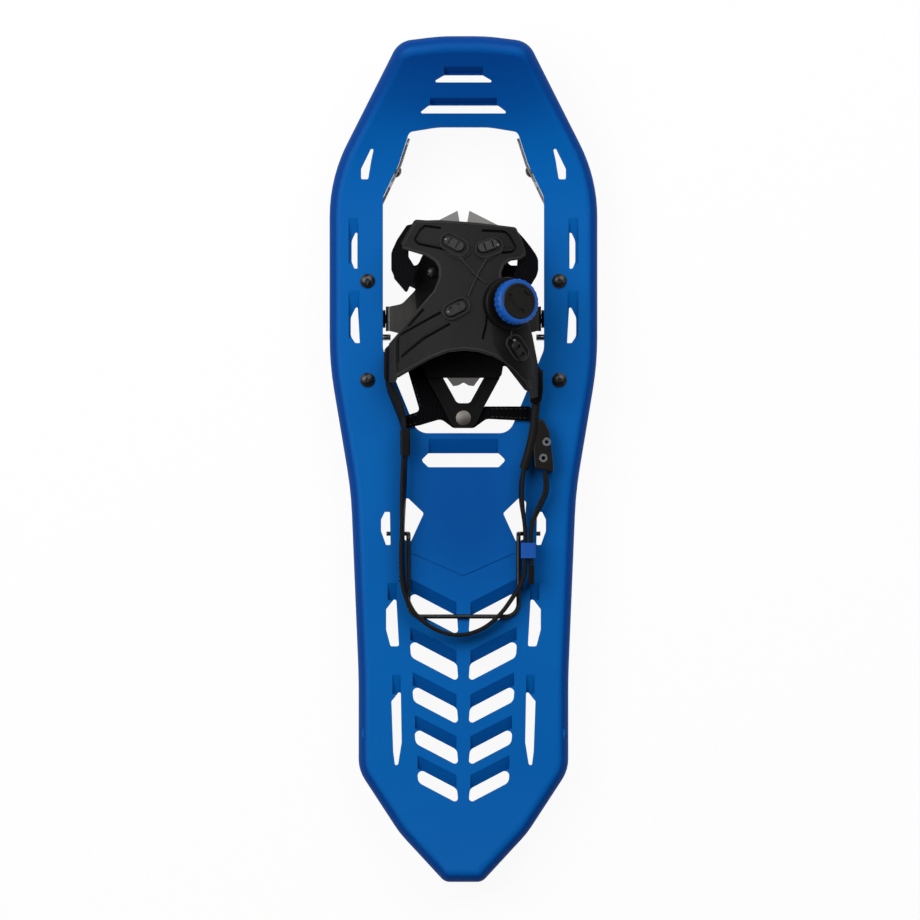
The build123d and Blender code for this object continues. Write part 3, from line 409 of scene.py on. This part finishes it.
# %% From slab to vault
pivot_y, spring_z, tilt = 110 * MM, 52 * MM, math.radians(8)
leg_length = 16 * MM
crown_share = 0.84  # the share of the slab's width that makes the arch, the rest makes its legs
instep = (58.2 * MM, 42 * MM)  # half span and rise of the wrap's arch
toe_arch = (56.4 * MM, 31.5 * MM)  # and of the loops beside the toes
base_z, above_wrap = 44.8, 140  # millimetres: the wrap's feet stand just above its base sheet
up = Vector((0, math.sin(tilt), math.cos(tilt)))
to_heel = Vector((0, -math.cos(tilt), math.sin(tilt)))


def on_vault(turn, along, lift, arch):
    """A point of the vault: turn goes from -1 at the left foot to 1 at the right one."""
    half_span, rise = arch
    if abs(turn) <= crown_share:
        angle = turn / crown_share * math.pi / 2
        across, height = half_span * math.sin(angle), rise * math.cos(angle)
        out = Vector((across / half_span**2, height / rise**2)).normalized()
    else:
        side = math.copysign(1, turn)
        across = side * half_span
        height = -(abs(turn) - crown_share) / (1 - crown_share) * leg_length
        out = Vector((side, 0))
    foot = Vector((across + out.x * lift, pivot_y, spring_z))
    return foot + up * (height + out.y * lift) + to_heel * along


def over_wrap(x, y, lift=0.0, arch=instep):
    """The point of the vault over a place in plan in millimetres, given in metres."""
    half_span, rise = arch
    height = rise * math.sqrt(1 - (x * MM / half_span) ** 2)
    out = Vector((x * MM / half_span**2, height / rise**2)).normalized()
    z = spring_z - math.tan(tilt) * (y * MM - pivot_y) + height / math.cos(tilt)
    normal = Vector((out.x, 0, 0)) + up * out.y
    return Vector((x * MM, y * MM, z)) + normal * lift * MM


print("crown of the wrap in mm:", round(over_wrap(0, 110).z / MM, 1))

# %% [markdown]
# ## Outlines, slabs and knives
# A moulding with a free outline is quickest made as a baker would: roll out a slab, bend it,
# and cut it with a shaped ring. The ring is a prism whose upright edges are bevelled, which
# rounds each corner by its own radius. A boolean does the cutting, and it has to be applied
# at once, because the ring is thrown away afterwards.

# %% Helpers for meshes
vault_half_length = 84 * MM


def as_piece(name, mesh_or_bmesh):
    """An object at the origin that holds a finished mesh."""
    if isinstance(mesh_or_bmesh, bmesh.types.BMesh):
        mesh = bpy.data.meshes.new(name)
        mesh_or_bmesh.to_mesh(mesh)
        mesh_or_bmesh.free()
    else:
        mesh = mesh_or_bmesh
    piece = bpy.data.objects.new(name, mesh)
    scene.collection.objects.link(piece)
    return piece


def applied(piece):
    """The piece with its modifiers made part of its mesh."""
    bpy.context.view_layer.update()
    evaluated = piece.evaluated_get(bpy.context.evaluated_depsgraph_get())
    mesh = bpy.data.meshes.new_from_object(evaluated)
    piece.modifiers.clear()
    piece.data = mesh
    return piece


def prism(plan, low, high):
    """A closed prism over a plan of (x, y, radius) corners, rounded by bevelling its uprights."""
    bm = bmesh.new()
    floor = bm.faces.new([bm.verts.new((x * MM, y * MM, low * MM)) for x, y, radius in plan])
    top = bmesh.ops.extrude_face_region(bm, geom=[floor])
    risen = [g for g in top["geom"] if isinstance(g, bmesh.types.BMVert)]
    bmesh.ops.translate(bm, vec=(0, 0, (high - low) * MM), verts=risen)
    uprights = {}
    for edge in bm.edges:
        a, b = edge.verts
        if (a.co.xy - b.co.xy).length < 1e-7:
            uprights[tuple(round(v, 7) for v in a.co.xy)] = edge
    for i, (x, y, radius) in enumerate(plan):
        here = Vector((x, y))
        before, after = Vector(plan[i - 1][:2]), Vector(plan[(i + 1) % len(plan)][:2])
        bend = (here - before).angle(after - here)
        edge = uprights[(round(x * MM, 7), round(y * MM, 7))]
        bmesh.ops.bevel(
            bm, geom=[edge], offset=radius * math.tan(bend / 2) * MM, affect="EDGES", segments=6,
            profile=0.5, material=-1, offset_type="OFFSET",
        )
    bmesh.ops.recalc_face_normals(bm, faces=bm.faces[:])
    return bm


def softened(piece, width_mm, segments=2):
    """The piece with its sharp edges rounded over."""
    rounding = piece.modifiers.new("rounding", "BEVEL")
    rounding.width, rounding.segments = width_mm * MM, segments
    rounding.limit_method, rounding.angle_limit = "ANGLE", math.radians(50)
    return applied(piece)


def cut(piece, cutter, operation="INTERSECT"):
    """Cuts a piece with a closed object, which is then thrown away."""
    modifier = piece.modifiers.new("cut", "BOOLEAN")
    modifier.operation, modifier.solver, modifier.object = operation, "EXACT", cutter
    modifier.use_self = operation == "DIFFERENCE"  # a tube may touch itself in a sharp bend
    applied(piece)
    bpy.data.objects.remove(cutter)
    return piece


def vault_shell(name, low, high, arch, across=96, along=70):
    """The closed shell of the vault between two lifts, before its outline is cut."""
    bm = bmesh.new()
    bmesh.ops.create_grid(bm, x_segments=across, y_segments=along, size=1)
    bmesh.ops.scale(bm, vec=(1, vault_half_length, 1), verts=bm.verts)
    top = bmesh.ops.extrude_face_region(bm, geom=bm.faces[:])
    risen = [g for g in top["geom"] if isinstance(g, bmesh.types.BMVert)]
    bmesh.ops.translate(bm, vec=(0, 0, 1), verts=risen)
    for corner in bm.verts:
        lift = (high if corner.co.z > 0.5 else low) * MM
        corner.co = on_vault(corner.co.x, corner.co.y, lift, arch)
    bmesh.ops.recalc_face_normals(bm, faces=bm.faces[:])
    return as_piece(name, bm)


def draped(name, plan, low, high, arch=instep):
    """A moulding on the vault with a rounded plan outline, between two lifts from it."""
    piece = vault_shell(name, low, high, arch)
    return cut(piece, as_piece("cutter", prism(plan, base_z, above_wrap)))


def fit(piece, finish, slot, *stands_for, body="binding", smooth_deg=38):
    """Gives a finished piece its material, its smooth shading and its body; slot is not used."""
    piece.data.materials.clear()
    piece.data.materials.append(finish)
    for face in piece.data.polygons:
        face.use_smooth = True
    piece.data.set_sharp_from_angle(angle=math.radians(smooth_deg))
    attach(piece, body)
    if stands_for:
        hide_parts(*stands_for)
    return piece


# %% [markdown]
# ## Tubes and bands
# Lace, channels, rolled edges and straps are all one shape drawn along a line. A curve object
# makes it: a round bevel gives a tube, and an extrusion as well gives a band that stands on
# its edge. Lines on the wrap are first drawn in plan, then lifted point by point on to it.

# %% Tubes, bands and lines on the vault
def tube(name, points, radius_mm, upright_mm=0.0, resolution=10, leans=()):
    """A tube along a smooth line between points in metres, or a band on its edge that leans."""
    curve = bpy.data.curves.new(name, "CURVE")
    curve.dimensions = "3D"
    curve.bevel_depth = radius_mm * MM
    curve.bevel_resolution = 2
    curve.extrude = upright_mm * MM
    if upright_mm:
        curve.twist_mode = "Z_UP"
    curve.resolution_u, curve.use_fill_caps = resolution, True
    spline = curve.splines.new("NURBS")
    spline.points.add(len(points) - 1)
    for place, point in zip(spline.points, points):
        place.co = (*point, 1)
    for place, lean in zip(spline.points, leans):
        place.tilt = lean
    spline.order_u = 3
    spline.use_endpoint_u = True
    piece = bpy.data.objects.new(name, curve)
    scene.collection.objects.link(piece)
    bpy.context.view_layer.update()
    mesh = bpy.data.meshes.new_from_object(
        piece.evaluated_get(bpy.context.evaluated_depsgraph_get())
    )
    bpy.data.objects.remove(piece)
    bpy.data.curves.remove(curve)
    return as_piece(name, mesh)


def run_over(corners, lift, step=3.0):
    """Points of the vault along straight plan runs between corners, one every few millimetres."""
    points = []
    for (x0, y0), (x1, y1) in zip(corners, corners[1:]):
        count = max(1, round(math.hypot(x1 - x0, y1 - y0) / step))
        for i in range(count):
            share = i / count
            points.append(over_wrap(x0 + (x1 - x0) * share, y0 + (y1 - y0) * share, lift))
    points.append(over_wrap(*corners[-1], lift))
    return points


# %% [markdown]
# ## The wrap
# One saddle of soft polyurethane goes over the instep: an upper strap with a framed panel, a
# narrow waist, and two arms that come down to the sole. Its outline is a list of corners, each
# with its own roundness. The black lines on it are real channels, which let the moulding
# bend, so a thin tube is cut out of the shell along each line. A painted line would vanish
# when the light comes from the side. A black cord lies in the floor of each channel as painted
# shade, because so narrow a groove holds little shade of its own under soft light.

# %% Wrap shell
past_legs = 4  # the outline runs this far past the legs, so that it doesn't trim them
span_mm = instep[0] / MM + past_legs
wrap_thickness = 3.0
wrap_plan = [
    (-38, 187, 3), (41, 181, 3), (49.6, 159.4, 3), (44, 155.6, 4), (36, 154.8, 6), (30.5, 150, 8),
    (27.5, 140, 12), (47, 126, 12),
    (51.5, 104, 8), (53.8, 96.5, 6), (58.4, 72.8, 1.5), (span_mm, 72, 1), (span_mm, 50, 2),
    (52, 47, 2), (50.6, 59.4, 5), (38.6, 72.8, 14), (28, 79.2, 20), (12, 85.4, 40), (-12, 85.4, 40),
    (-26, 79, 30), (-37.5, 73, 20), (-50.5, 65.4, 3), (-53, 60, 1), (-span_mm, 60, 2),
    (-span_mm, 89.5, 1), (-58.2, 90.2, 1), (-51.6, 97.6, 5),
    (-17, 136, 20), (-17, 150, 12), (-28, 161, 10), (-50, 167, 3),
]
wrap = draped("wrap_shell", wrap_plan, -wrap_thickness, 0.0)
channels = {
    "left_arm_high": [(-17.7, 114.5), (-34, 105.6), (-50.4, 96.4), (-50.6, 88), (-50.4, 75)],
    "left_arm_low": [(-10.6, 105.6), (-30.9, 94.2), (-48.6, 79.6)],
    "left_arm_edge": [(-30.9, 117), (-37, 110.6), (-43, 103.6)],
    "frame_left": [
        (-17.6, 180.2), (-30, 182), (-34, 178.6), (-38.2, 171.2), (-35.6, 168), (-12, 163),
    ],
    "frame_right": [
        (14.3, 178.4), (32, 177.6), (36, 174.4), (41, 165), (38.4, 161.6), (30, 160.8),
    ],
    "right_arm_edge": [(18.5, 131), (19.6, 121), (19, 115), (17.6, 104), (15.1, 93.4)],
}
channel_radius, channel_lift = 1.35, -0.75
painted_shade_cord_radius, painted_shade_cord_lift = 0.8, -2.0
for name, corners in channels.items():
    cut(wrap, tube("channel", run_over(corners, channel_lift), channel_radius), "DIFFERENCE")
    # A black cord in the channel's floor: painted shade that the narrow groove doesn't cast
    painted_shade_cord = tube("lining_" + name, run_over(corners, painted_shade_cord_lift), painted_shade_cord_radius)
    fit(painted_shade_cord, webbing, "soft_polyurethane", smooth_deg=60)
fit(wrap, soft_pu, "soft_polyurethane", "wrap_upper")
print("wrap shell faces:", len(wrap.data.polygons), "channels:", len(channels))

# %% [markdown]
# ## Rolled edges
# The edge of the moulding is rolled, so that it doesn't cut into a trouser leg. A bevel trips
# over the short edges that the cut leaves in the grid, so a tube laid along the outline gives
# the roll instead.

# %% Rolled edges
edge_runs = {
    "toe_edge": [(-37, 184.6), (-20, 185), (10, 183), (40, 179.6), (45, 171), (48, 161)],
    "right_waist": [
        (47.6, 160.4), (43.4, 157.2), (36.5, 156.4), (31, 152.6), (28.4, 146), (28.6, 140.6),
        (45, 127), (49, 118), (51, 103), (53, 96), (55.6, 84),
    ],
    "left_waist": [
        (-47.5, 165.6), (-37, 162.6), (-29, 160.2), (-21, 155), (-18, 149), (-18, 141), (-22, 131),
        (-36, 115), (-51.2, 97), (-56.6, 90.6),
    ],
    "heel_edge": [
        (-52.4, 65.4), (-45, 69.6), (-37, 74), (-26, 80), (-13, 85.2), (0, 86.6), (12, 85.6),
        (24, 81.8), (33, 77), (39.5, 72.6), (46, 66), (51, 60.4), (52.6, 55),
    ],
    "left_toe_end": [(-37.4, 184.4), (-42, 176), (-47, 167)],
}
roll_radius, roll_lift = 1.7, -1.3
for name, corners in edge_runs.items():
    edge = tube("wrap_" + name, run_over(corners, roll_lift), roll_radius)
    fit(edge, edge_pu, "soft_polyurethane", smooth_deg=60)
print("rolled edges:", len(edge_runs))

# %% [markdown]
# ## Panels on the wrap
# Between the channels the moulding is thicker: a panel on the upper strap, one along the left
# arm, a band down the left leg, and the pads that the lace guides stand on. A glossier rubber
# sheet covers the right arm round the dial. Each is draped on the same vault, from just
# inside the wrap to a little above it, so that it follows it without a gap.

# %% Raised panels, and the pads of the guides
panels = {  # each panel's lift over the wrap, and its plan outline
    "upper_panel": (0.5, [
        (-30, 179.4, 1), (-11, 178.2, 2), (31, 174.6, 1), (35.6, 172.8, 1), (38.6, 165.4, 1),
        (20, 164.4, 6), (-12, 165.4, 6), (-35, 170.6, 1),
    ]),
    "left_arm_channel": (0.45, [
        (-16, 111.6, 1), (-12.6, 107.8, 1), (-30, 97.2, 1), (-47.6, 82.4, 1), (-48.4, 92.6, 1),
        (-33, 103.0, 1),
    ]),
    "left_sole_band": (0.8, [
        (-56.6, 90.6, 1), (-52.4, 95.4, 1), (-52.2, 72, 1), (-51.2, 68.6, 1), (-56.4, 68.6, 1),
    ]),
    "guide_pad_left": (1.2, [
        (-15, 176, 2), (2, 172, 2), (6, 160, 2), (-2, 154.6, 3), (-14, 160.6, 3),
    ]),
    "guide_pad_right": (1.2, [
        (10, 174, 2), (27.6, 174, 2), (30, 162, 2), (18, 154, 3), (9.6, 159, 3),
    ]),
    "guide_pad_low": (1.0, [
        (-16.6, 113.4, 2), (-12, 121, 2), (4.6, 124.6, 2), (6.6, 116, 2), (-6, 108, 2),
    ]),
}
panel_root, cover_lift = -0.5, 1.0
for name, (lift, plan) in panels.items():
    fit(draped(name, plan, panel_root, lift), soft_pu, "soft_polyurethane")
cover_plan = [
    (21.4, 134, 6), (33, 139, 10), (45.6, 126, 8), (50.4, 104, 8), (52.4, 92, 3), (55.8, 74, 1),
    (55.8, 66, 2), (51, 61.6, 2), (44.6, 66.2, 2), (39, 71.4, 3), (30, 79, 6), (23.6, 92, 5),
    (22.6, 112, 6),
]
cover = draped("right_arm_cover", cover_plan, panel_root, cover_lift)
fit(cover, glossy_rubber, "gloss_black")
print("raised panels:", len(panels) + 1)

# %% [markdown]
# ## Rims round the lace guides
# Each lace guide is moulded into a low oval rim, and a metal peg holds its end. The rim is a
# tube that follows the vault round the guide, and it catches the light as a thin bright line.

# %% Guide rims and pegs
guide_places = {  # centre x and y, half length, half width, turn in degrees, side of the peg
    "upper_left": (-6.9, 167.2, 11.4, 6.6, -30, -1),
    "upper_right": (19.6, 164.6, 10.4, 6.4, 18, 1),
    "middle": (-5.4, 117.2, 10.6, 6.2, 28, -1),
    "low": (41.4, 86.8, 10.4, 6.2, -60, -1),
}
rim_radius, rim_lift, rim_step_deg = 0.9, 1.1, 15
peg_radius, peg_lift = 1.5, 2.6
peg_reach = 0.62  # the peg's place, as a share of the rim's half length
for name, (x, y, half_length, half_width, turn, side) in guide_places.items():
    along = Vector((math.cos(math.radians(turn)), math.sin(math.radians(turn))))
    beside = Vector((-along.y, along.x))
    bend_centre = half_length - half_width
    path = []
    for i in range(360 // rim_step_deg + 1):
        angle = math.radians(rim_step_deg * i)
        end = math.copysign(bend_centre, math.cos(angle))
        reach = end + half_width * math.cos(angle)
        spot = Vector((x, y)) + along * reach + beside * half_width * math.sin(angle)
        path.append(over_wrap(spot.x, spot.y, rim_lift))
    fit(tube("guide_rim_" + name, path, rim_radius), edge_pu, "soft_polyurethane", smooth_deg=60)
    peg = bmesh.new()
    bmesh.ops.create_uvsphere(peg, u_segments=16, v_segments=8, radius=peg_radius * MM)
    spot = Vector((x, y)) + along * side * half_length * peg_reach
    bmesh.ops.translate(peg, vec=over_wrap(spot.x, spot.y, peg_lift), verts=peg.verts)
    fit(as_piece("guide_peg_" + name, peg), rivet_aluminium, "bare_steel", smooth_deg=60)
print("guide rims:", len(guide_places))

# %% [markdown]
# ## Loops beside the toes
# Two wide loops of webbing join the upper strap to the sole and close round the toe of the
# boot. They lie under the wrap on a lower arch, so the same slab is carried to that arch.

# %% Webbing loops
loop_plans = {
    "left": [
        (-30, 186, 3), (-44.3, 182.6, 2), (-51.8, 171.6, 20), (-56.2, 162, 16), (-57.2, 155.2, 14),
        (-56.6, 148.5, 12), (-52.8, 139.6, 16), (-44.3, 129.4, 1.5), (-37.2, 146, 4),
        (-38.6, 151.2, 3), (-42.8, 158, 3), (-42.6, 166, 6), (-32, 174, 3),
    ],
    "right": [
        (32, 177.6, 2), (42, 178, 2), (46.9, 172.8, 10), (52.4, 166, 16), (57.6, 158.6, 14),
        (59.4, 151.2, 12), (57.2, 143.2, 12), (52.7, 135.8, 16), (45, 128, 1.5), (38, 142, 6),
        (41.6, 150, 6), (42.2, 158, 6), (38, 168, 6),
    ],
}
right_loop_wider = 2 * MM  # the loop on the dial's side stands a little further out
loop_arches = {"left": toe_arch, "right": (toe_arch[0] + right_loop_wider, toe_arch[1])}
web_thickness = 2.2
for word, plan in loop_plans.items():
    loop = draped("toe_loop_" + word, plan, -web_thickness, 0.0, arch=loop_arches[word])
    fit(loop, webbing, "webbing", "toe_web_" + word)
print("webbing loops:", len(loop_plans))

# %% [markdown]
# ## Base sheet of the wrap
# A sheet of the same polyurethane lies between the yoke and the footbed. Four ears stick out
# of it, and the wrap and the loops are bonded to them. It is a flat blank, so it is made as
# one: a rounded outline, given its thickness and softened at its edges.

# %% Base sheet
front_half = [
    (18, 170.4, 12), (32, 157.4, 6), (36.4, 151.6, 3), (50, 151.4, 4), (54.4, 147.4, 4),
    (54.4, 140, 4), (36.6, 133, 4),
]
left_half = [
    (-34.8, 97, 6), (-52, 93, 3), (-56.8, 88, 3), (-56.8, 68, 3), (-32, 74, 4), (-28, 65.2, 3),
]
right_half = [
    (28, 65.2, 3), (31, 76, 3), (48, 54, 3), (56.8, 52, 3), (56.8, 71, 3), (36, 94, 6),
]
mirrored_front = [(-x, y, radius) for x, y, radius in front_half]
base_plan = front_half + right_half[::-1] + left_half[::-1] + mirrored_front[::-1]
base_low, base_high, base_rounding = 43.0, 44.5, 0.4
base = as_piece("wrap_base_sheet", prism(base_plan, base_low, base_high))
base = softened(base, base_rounding)
fit(base, edge_pu, "soft_polyurethane", "wrap_base")
print("base sheet corners:", len(base_plan))

# %% [markdown]
# ## Rubber straps
# The heel strap is a rubber band that stands on its edge, so from above it shows as a thin
# line that sweeps round the heel. A smooth curve with an upright section gives such a band
# in one step. It leans in and out a little along its way, as a soft band does, and stays
# within a few millimetres of the CAD strap. Beside the buckle a thicker cover is moulded
# round it, which is a second and fatter band on the same line.

# %% Heel strap, side strap and buckle strap
strap_z = 46.3
half_thick, half_flat = 1.6, 4.6  # half the band's thickness, and half its flat height
strap_routes = {  # places in plan, and the lean in degrees at each
    "heel_strap": [
        (-45.4, 14, 0), (-46.0, 4, 8), (-46.6, -13, 16), (-47.4, -36, 10), (-47.8, -52, 4),
        (-48.0, -66, 7), (-48.0, -84, 8), (-47.3, -98, 8), (-43.8, -111, 6), (-36.6, -122.6, 0),
        (-22, -133.6, 0), (-2.7, -138.4, 0), (16, -132.5, 0), (29.5, -120.6, 0), (38, -108.6, 2),
        (44.8, -98, 2), (48.1, -89, 0), (48.2, -77, 0), (48.2, -66, 0), (48.2, -55, 0),
        (47.2, -46, 0), (45.4, -34, 6), (45.0, -22, 8), (46.3, -12, 4), (49, -1, 0),
        (52, 8, 0), (54.8, 24, 0), (56.6, 42, 0), (59.9, 52, 0), (60.3, 60, 0), (60.3, 70, 0),
    ],
    "side_strap": [
        (-45.4, 15.5, 0), (-46.2, 24, 8), (-48.6, 35, 24), (-52.6, 46, 30), (-57.4, 56, 20),
        (-60.0, 64, 0), (-60.3, 72, 0), (-60.3, 84, 0),
    ],
    "buckle_strap": [
        (63.4, -9.2, 0), (64.9, -18, 10), (64.6, -26, 12), (61.2, -33, 10), (57.0, -41.5, 6),
        (53.6, -50, 2), (52.6, -58, 0), (53.0, -66, 0), (53.0, -82, 0),
    ],
}
for name, route in strap_routes.items():
    points = [(x * MM, y * MM, strap_z * MM) for x, y, lean in route]
    leans = [math.radians(lean) for x, y, lean in route]
    band = tube(name + "_band", points, half_thick, half_flat, resolution=12, leans=leans)
    fit(band, strap_rubber, "soft_polyurethane", name)
cover_route = [(57.0, 50), (55.9, 36), (54.9, 23), (51.7, 8), (48.9, -1), (46.9, -7.6)]
cover_points = [(x * MM, y * MM, strap_z * MM) for x, y in cover_route]
cover_half_thick, cover_half_flat = 3.4, 3.2
strap_cover = tube("strap_cover", cover_points, cover_half_thick, cover_half_flat, resolution=12)
fit(strap_cover, strap_rubber, "soft_polyurethane")
print("straps:", len(strap_routes))


# %% [markdown]
# ## Ladder on the strap
# Small bars stand across the left side of the heel strap, in an even row like a ladder. Each
# is a cube that is scaled, bevelled, turned and moved into one shared mesh, so that the whole
# ladder is a single piece. The stitches further down are made by the same helper.

# %% Ladder bars
def bar(bm, centre, size, turn_deg, rounding):
    """Adds a small rounded bar, turned about the upright axis, to a mesh. Sizes in mm."""
    made = bmesh.ops.create_cube(bm, size=1)
    bmesh.ops.scale(bm, vec=[v * MM for v in size], verts=made["verts"])
    edges = {edge for corner in made["verts"] for edge in corner.link_edges}
    shaped = bmesh.ops.bevel(
        bm, geom=list(edges), offset=rounding * MM, affect="EDGES", segments=2, profile=0.5,
        material=-1,
    )
    corners = list({corner for face in shaped["faces"] for corner in face.verts})
    turned = Matrix.Rotation(math.radians(turn_deg), 3, "Z")
    bmesh.ops.rotate(bm, cent=(0, 0, 0), matrix=turned, verts=corners)
    bmesh.ops.translate(bm, vec=[v * MM for v in centre], verts=corners)


ladder_x, ladder_front_y, ladder_pitch, ladder_bars = -49.7, -66, 3.6, 9
ladder_size, ladder_rounding = (1.6, 1.5, 9.6), 0.3
ladder = bmesh.new()
for i in range(ladder_bars):
    centre = (ladder_x, ladder_front_y - ladder_pitch * i, strap_z)
    bar(ladder, centre, ladder_size, 0, ladder_rounding)
fit(as_piece("strap_ladder", ladder), strap_rubber, "soft_polyurethane")
print("ladder bars:", ladder_bars)

# %% [markdown]
# ## Where the straps meet the wrap
# The ends of both straps are moulded over, so each shows as a rounded swelling beside the
# wrap's leg. A softened block that swallows the strap's end gives that shape.

# %% Overmoulded strap ends
anchor_low, anchor_high, anchor_rounding = 39.9, 54.8, 1.2
anchors = {
    "left_strap_anchor": [
        (-62.1, 64, 3), (-62.3, 76, 8), (-61.6, 86, 3), (-58.6, 89, 1), (-56.2, 89, 1),
        (-56.2, 62, 1.5), (-60, 60, 2),
    ],
    "right_strap_anchor": [
        (52.4, 64, 3), (55, 72.4, 2), (58.6, 73.4, 2), (61.9, 68, 4), (62.3, 56, 8), (61.0, 45, 4),
        (56.4, 42.6, 2), (51.6, 45, 2),
    ],
}
for name, plan in anchors.items():
    anchor = as_piece(name, prism(plan, anchor_low, anchor_high))
    anchor = softened(anchor, anchor_rounding, segments=4)
    fit(anchor, glossy_rubber, "gloss_black")
print("anchors:", len(anchors))

# %% [markdown]
# ## Strap under the yoke
# A flat strap with three arms is riveted under the yoke: one arm to each side, and one that
# runs forwards on the left, under the wrap. It is cut from webbing, so it is a flat blank
# with softened edges, and its arms are stitched along both sides. Each stitch is a tiny bar,
# because stitches are proud of the weave and catch the light.

# %% Rear strap and its stitches
rear_low, rear_high, rear_rounding = 37.7, 39.7, 0.5
rear_plan = [
    (52, 41.5, 1), (16, 41.5, 3), (8, 34, 3), (-8, 34, 3), (-16, 48, 5), (-24, 76, 1), (-45.3, 76, 1),
    (-34.2, 37.8, 3), (-49, 33, 1), (-49, 24, 1), (-34, 26.7, 8), (-17.5, 31.6, 6), (-8, 24.5, 4),
    (8, 24.5, 4), (18, 31.7, 6), (52, 30, 1),
]
rear = as_piece("rear_strap_webbing", prism(rear_plan, rear_low, rear_high))
rear = softened(rear, rear_rounding)
fit(rear, webbing, "webbing", "rear_strap")
stitch_rows = [
    ((21, 39.6), (50, 39.6)), ((21, 33.6), (50, 32.2)), ((-35.5, 35.4), (-47.4, 31.4)),
    ((-36, 28.4), (-47.4, 26.2)), ((-23.6, 64), (-17.4, 45)), ((-40, 64), (-33.2, 41)),
]
stitch_pitch, stitch_size, stitch_rounding = 3.6, (2.4, 0.6, 0.5), 0.15
stitches = bmesh.new()
for (x0, y0), (x1, y1) in stitch_rows:
    count = int(math.hypot(x1 - x0, y1 - y0) / stitch_pitch)
    turn = math.degrees(math.atan2(y1 - y0, x1 - x0))
    for i in range(count):
        share = (i + 0.5) / count
        centre = (x0 + (x1 - x0) * share, y0 + (y1 - y0) * share, rear_high)
        bar(stitches, centre, stitch_size, turn, stitch_rounding)
fit(as_piece("rear_strap_stitches", stitches), braid, "webbing")
print("stitch rows:", len(stitch_rows))

# %% [markdown]
# ## Lace
# The lace is a thin braided steel cable. Each run is pulled tight over the wrap between two
# guides, so it follows the vault just above the surface and needs no sag. The first run takes
# the place of the CAD's three.

# %% Lace runs
lace_runs = {
    "lace_run_left": [(18.8, 158.4), (14.4, 150.2), (9.6, 141.8), (3.6, 127)],
    "lace_run_cross": [(-3.6, 158.6), (2, 151.6), (9.4, 143), (17, 137)],
    "lace_run_low": [(37, 99.6), (36.6, 96.5), (36, 93.4)],
}
lace_radius, lace_lift = 0.6, 1.3
replaced = {"lace_run_left": ["lace"]}
for name, corners in lace_runs.items():
    run = tube(name, [over_wrap(x, y, lace_lift) for x, y in corners], lace_radius)
    fit(run, braid, "lace_steel", *replaced.get(name, []), smooth_deg=60)
print("lace runs:", len(lace_runs))

# %% [markdown]
# ## Stage
# The shoe lies on white paper. The paper glows a little towards the camera, which makes it
# clean white without more light on the shoe, and the rest of it is plain paper that takes the
# shoe's shadow and throws light up under it. Mirrors and gloss see the same white.

# %% Paper floor
def paper_share(tree):
    """1 for rays that look at the floor, straight or in a gloss, and 0 for light."""
    path = node(tree, "ShaderNodeLightPath")
    seen = path.outputs["Is Camera Ray"]
    for kind in ("Is Glossy Ray", "Is Transmission Ray"):
        either = node(tree, "ShaderNodeMath", {0: seen, 1: path.outputs[kind]}, operation="MAXIMUM")
        seen = either.outputs[0]
    return seen


floor_half_width = 6.0  # metres
floor_mesh = bmesh.new()
bmesh.ops.create_grid(floor_mesh, x_segments=1, y_segments=1, size=floor_half_width)
floor = as_piece("floor", floor_mesh)
paper = bpy.data.materials.new("white_paper")
paper.use_nodes = True
tree = paper.node_tree
tree.nodes.clear()
glow_share = 0.93
lit = node(tree, "ShaderNodeBsdfDiffuse", {"Color": srgb("#f4f4f2")})
glow = node(tree, "ShaderNodeEmission", {"Color": (1, 1, 1, 1), "Strength": 1.0})
share = node(tree, "ShaderNodeMath", {0: paper_share(tree), 1: glow_share}, operation="MULTIPLY")
paired = {0: share.outputs[0], 1: lit.outputs[0], 2: glow.outputs[0]}
both = node(tree, "ShaderNodeMixShader", paired)
node(tree, "ShaderNodeOutputMaterial", {"Surface": both.outputs[0]})
floor.data.materials.append(paper)
print("floor:", floor.name, "glow share:", glow_share)

# %% [markdown]
# ## Lamps and world
# Two large soft lamps hang two metres up, to the left and to the right and on the toe's side,
# so flat plastic mirrors the dark straight above and keeps its colour, and only slanted faces
# catch a lamp. The world is a pale horizon that fades to a dark ceiling, which fills the
# shadows a little.

# %% Lamps and world
def soft_lamp(name, place, size, watts):
    """A square lamp that points at the shoe."""
    lamp = bpy.data.lights.new(name, "AREA")
    lamp.shape, lamp.size, lamp.energy = "SQUARE", size, watts
    holder = bpy.data.objects.new(name, lamp)
    holder.location = place
    holder.rotation_mode = "QUATERNION"
    holder.rotation_quaternion = (-Vector(place)).to_track_quat("-Z", "Y")
    scene.collection.objects.link(holder)


lamp_watts = {"left": 47, "right": 37}
lamp_places = {"left": (-1.3, 0.7, 2.0), "right": (0.9, 1.4, 2.0)}
lamp_size, fade_power = 1.8, 3.0
for side, place in lamp_places.items():
    soft_lamp("lamp_" + side, place, lamp_size, lamp_watts[side])
world = bpy.data.worlds.new("studio")
world.use_nodes = True
scene.world = world
sky = world.node_tree
sky.nodes.clear()
way = node(sky, "ShaderNodeTexCoord")
height = node(sky, "ShaderNodeSeparateXYZ", {0: way.outputs["Generated"]})
below_top = {0: 1.0, 1: height.outputs["Z"]}
low = node(sky, "ShaderNodeMath", below_top, operation="SUBTRACT", use_clamp=True)
fade = node(sky, "ShaderNodeMath", {0: low.outputs[0], 1: fade_power}, operation="POWER")
light = node(sky, "ShaderNodeBackground", {"Color": (1, 1, 1, 1), "Strength": fade.outputs[0]})
node(sky, "ShaderNodeOutputWorld", {"Surface": light.outputs[0]})
print("lamps in W:", lamp_watts, "and a horizon that fades upwards")
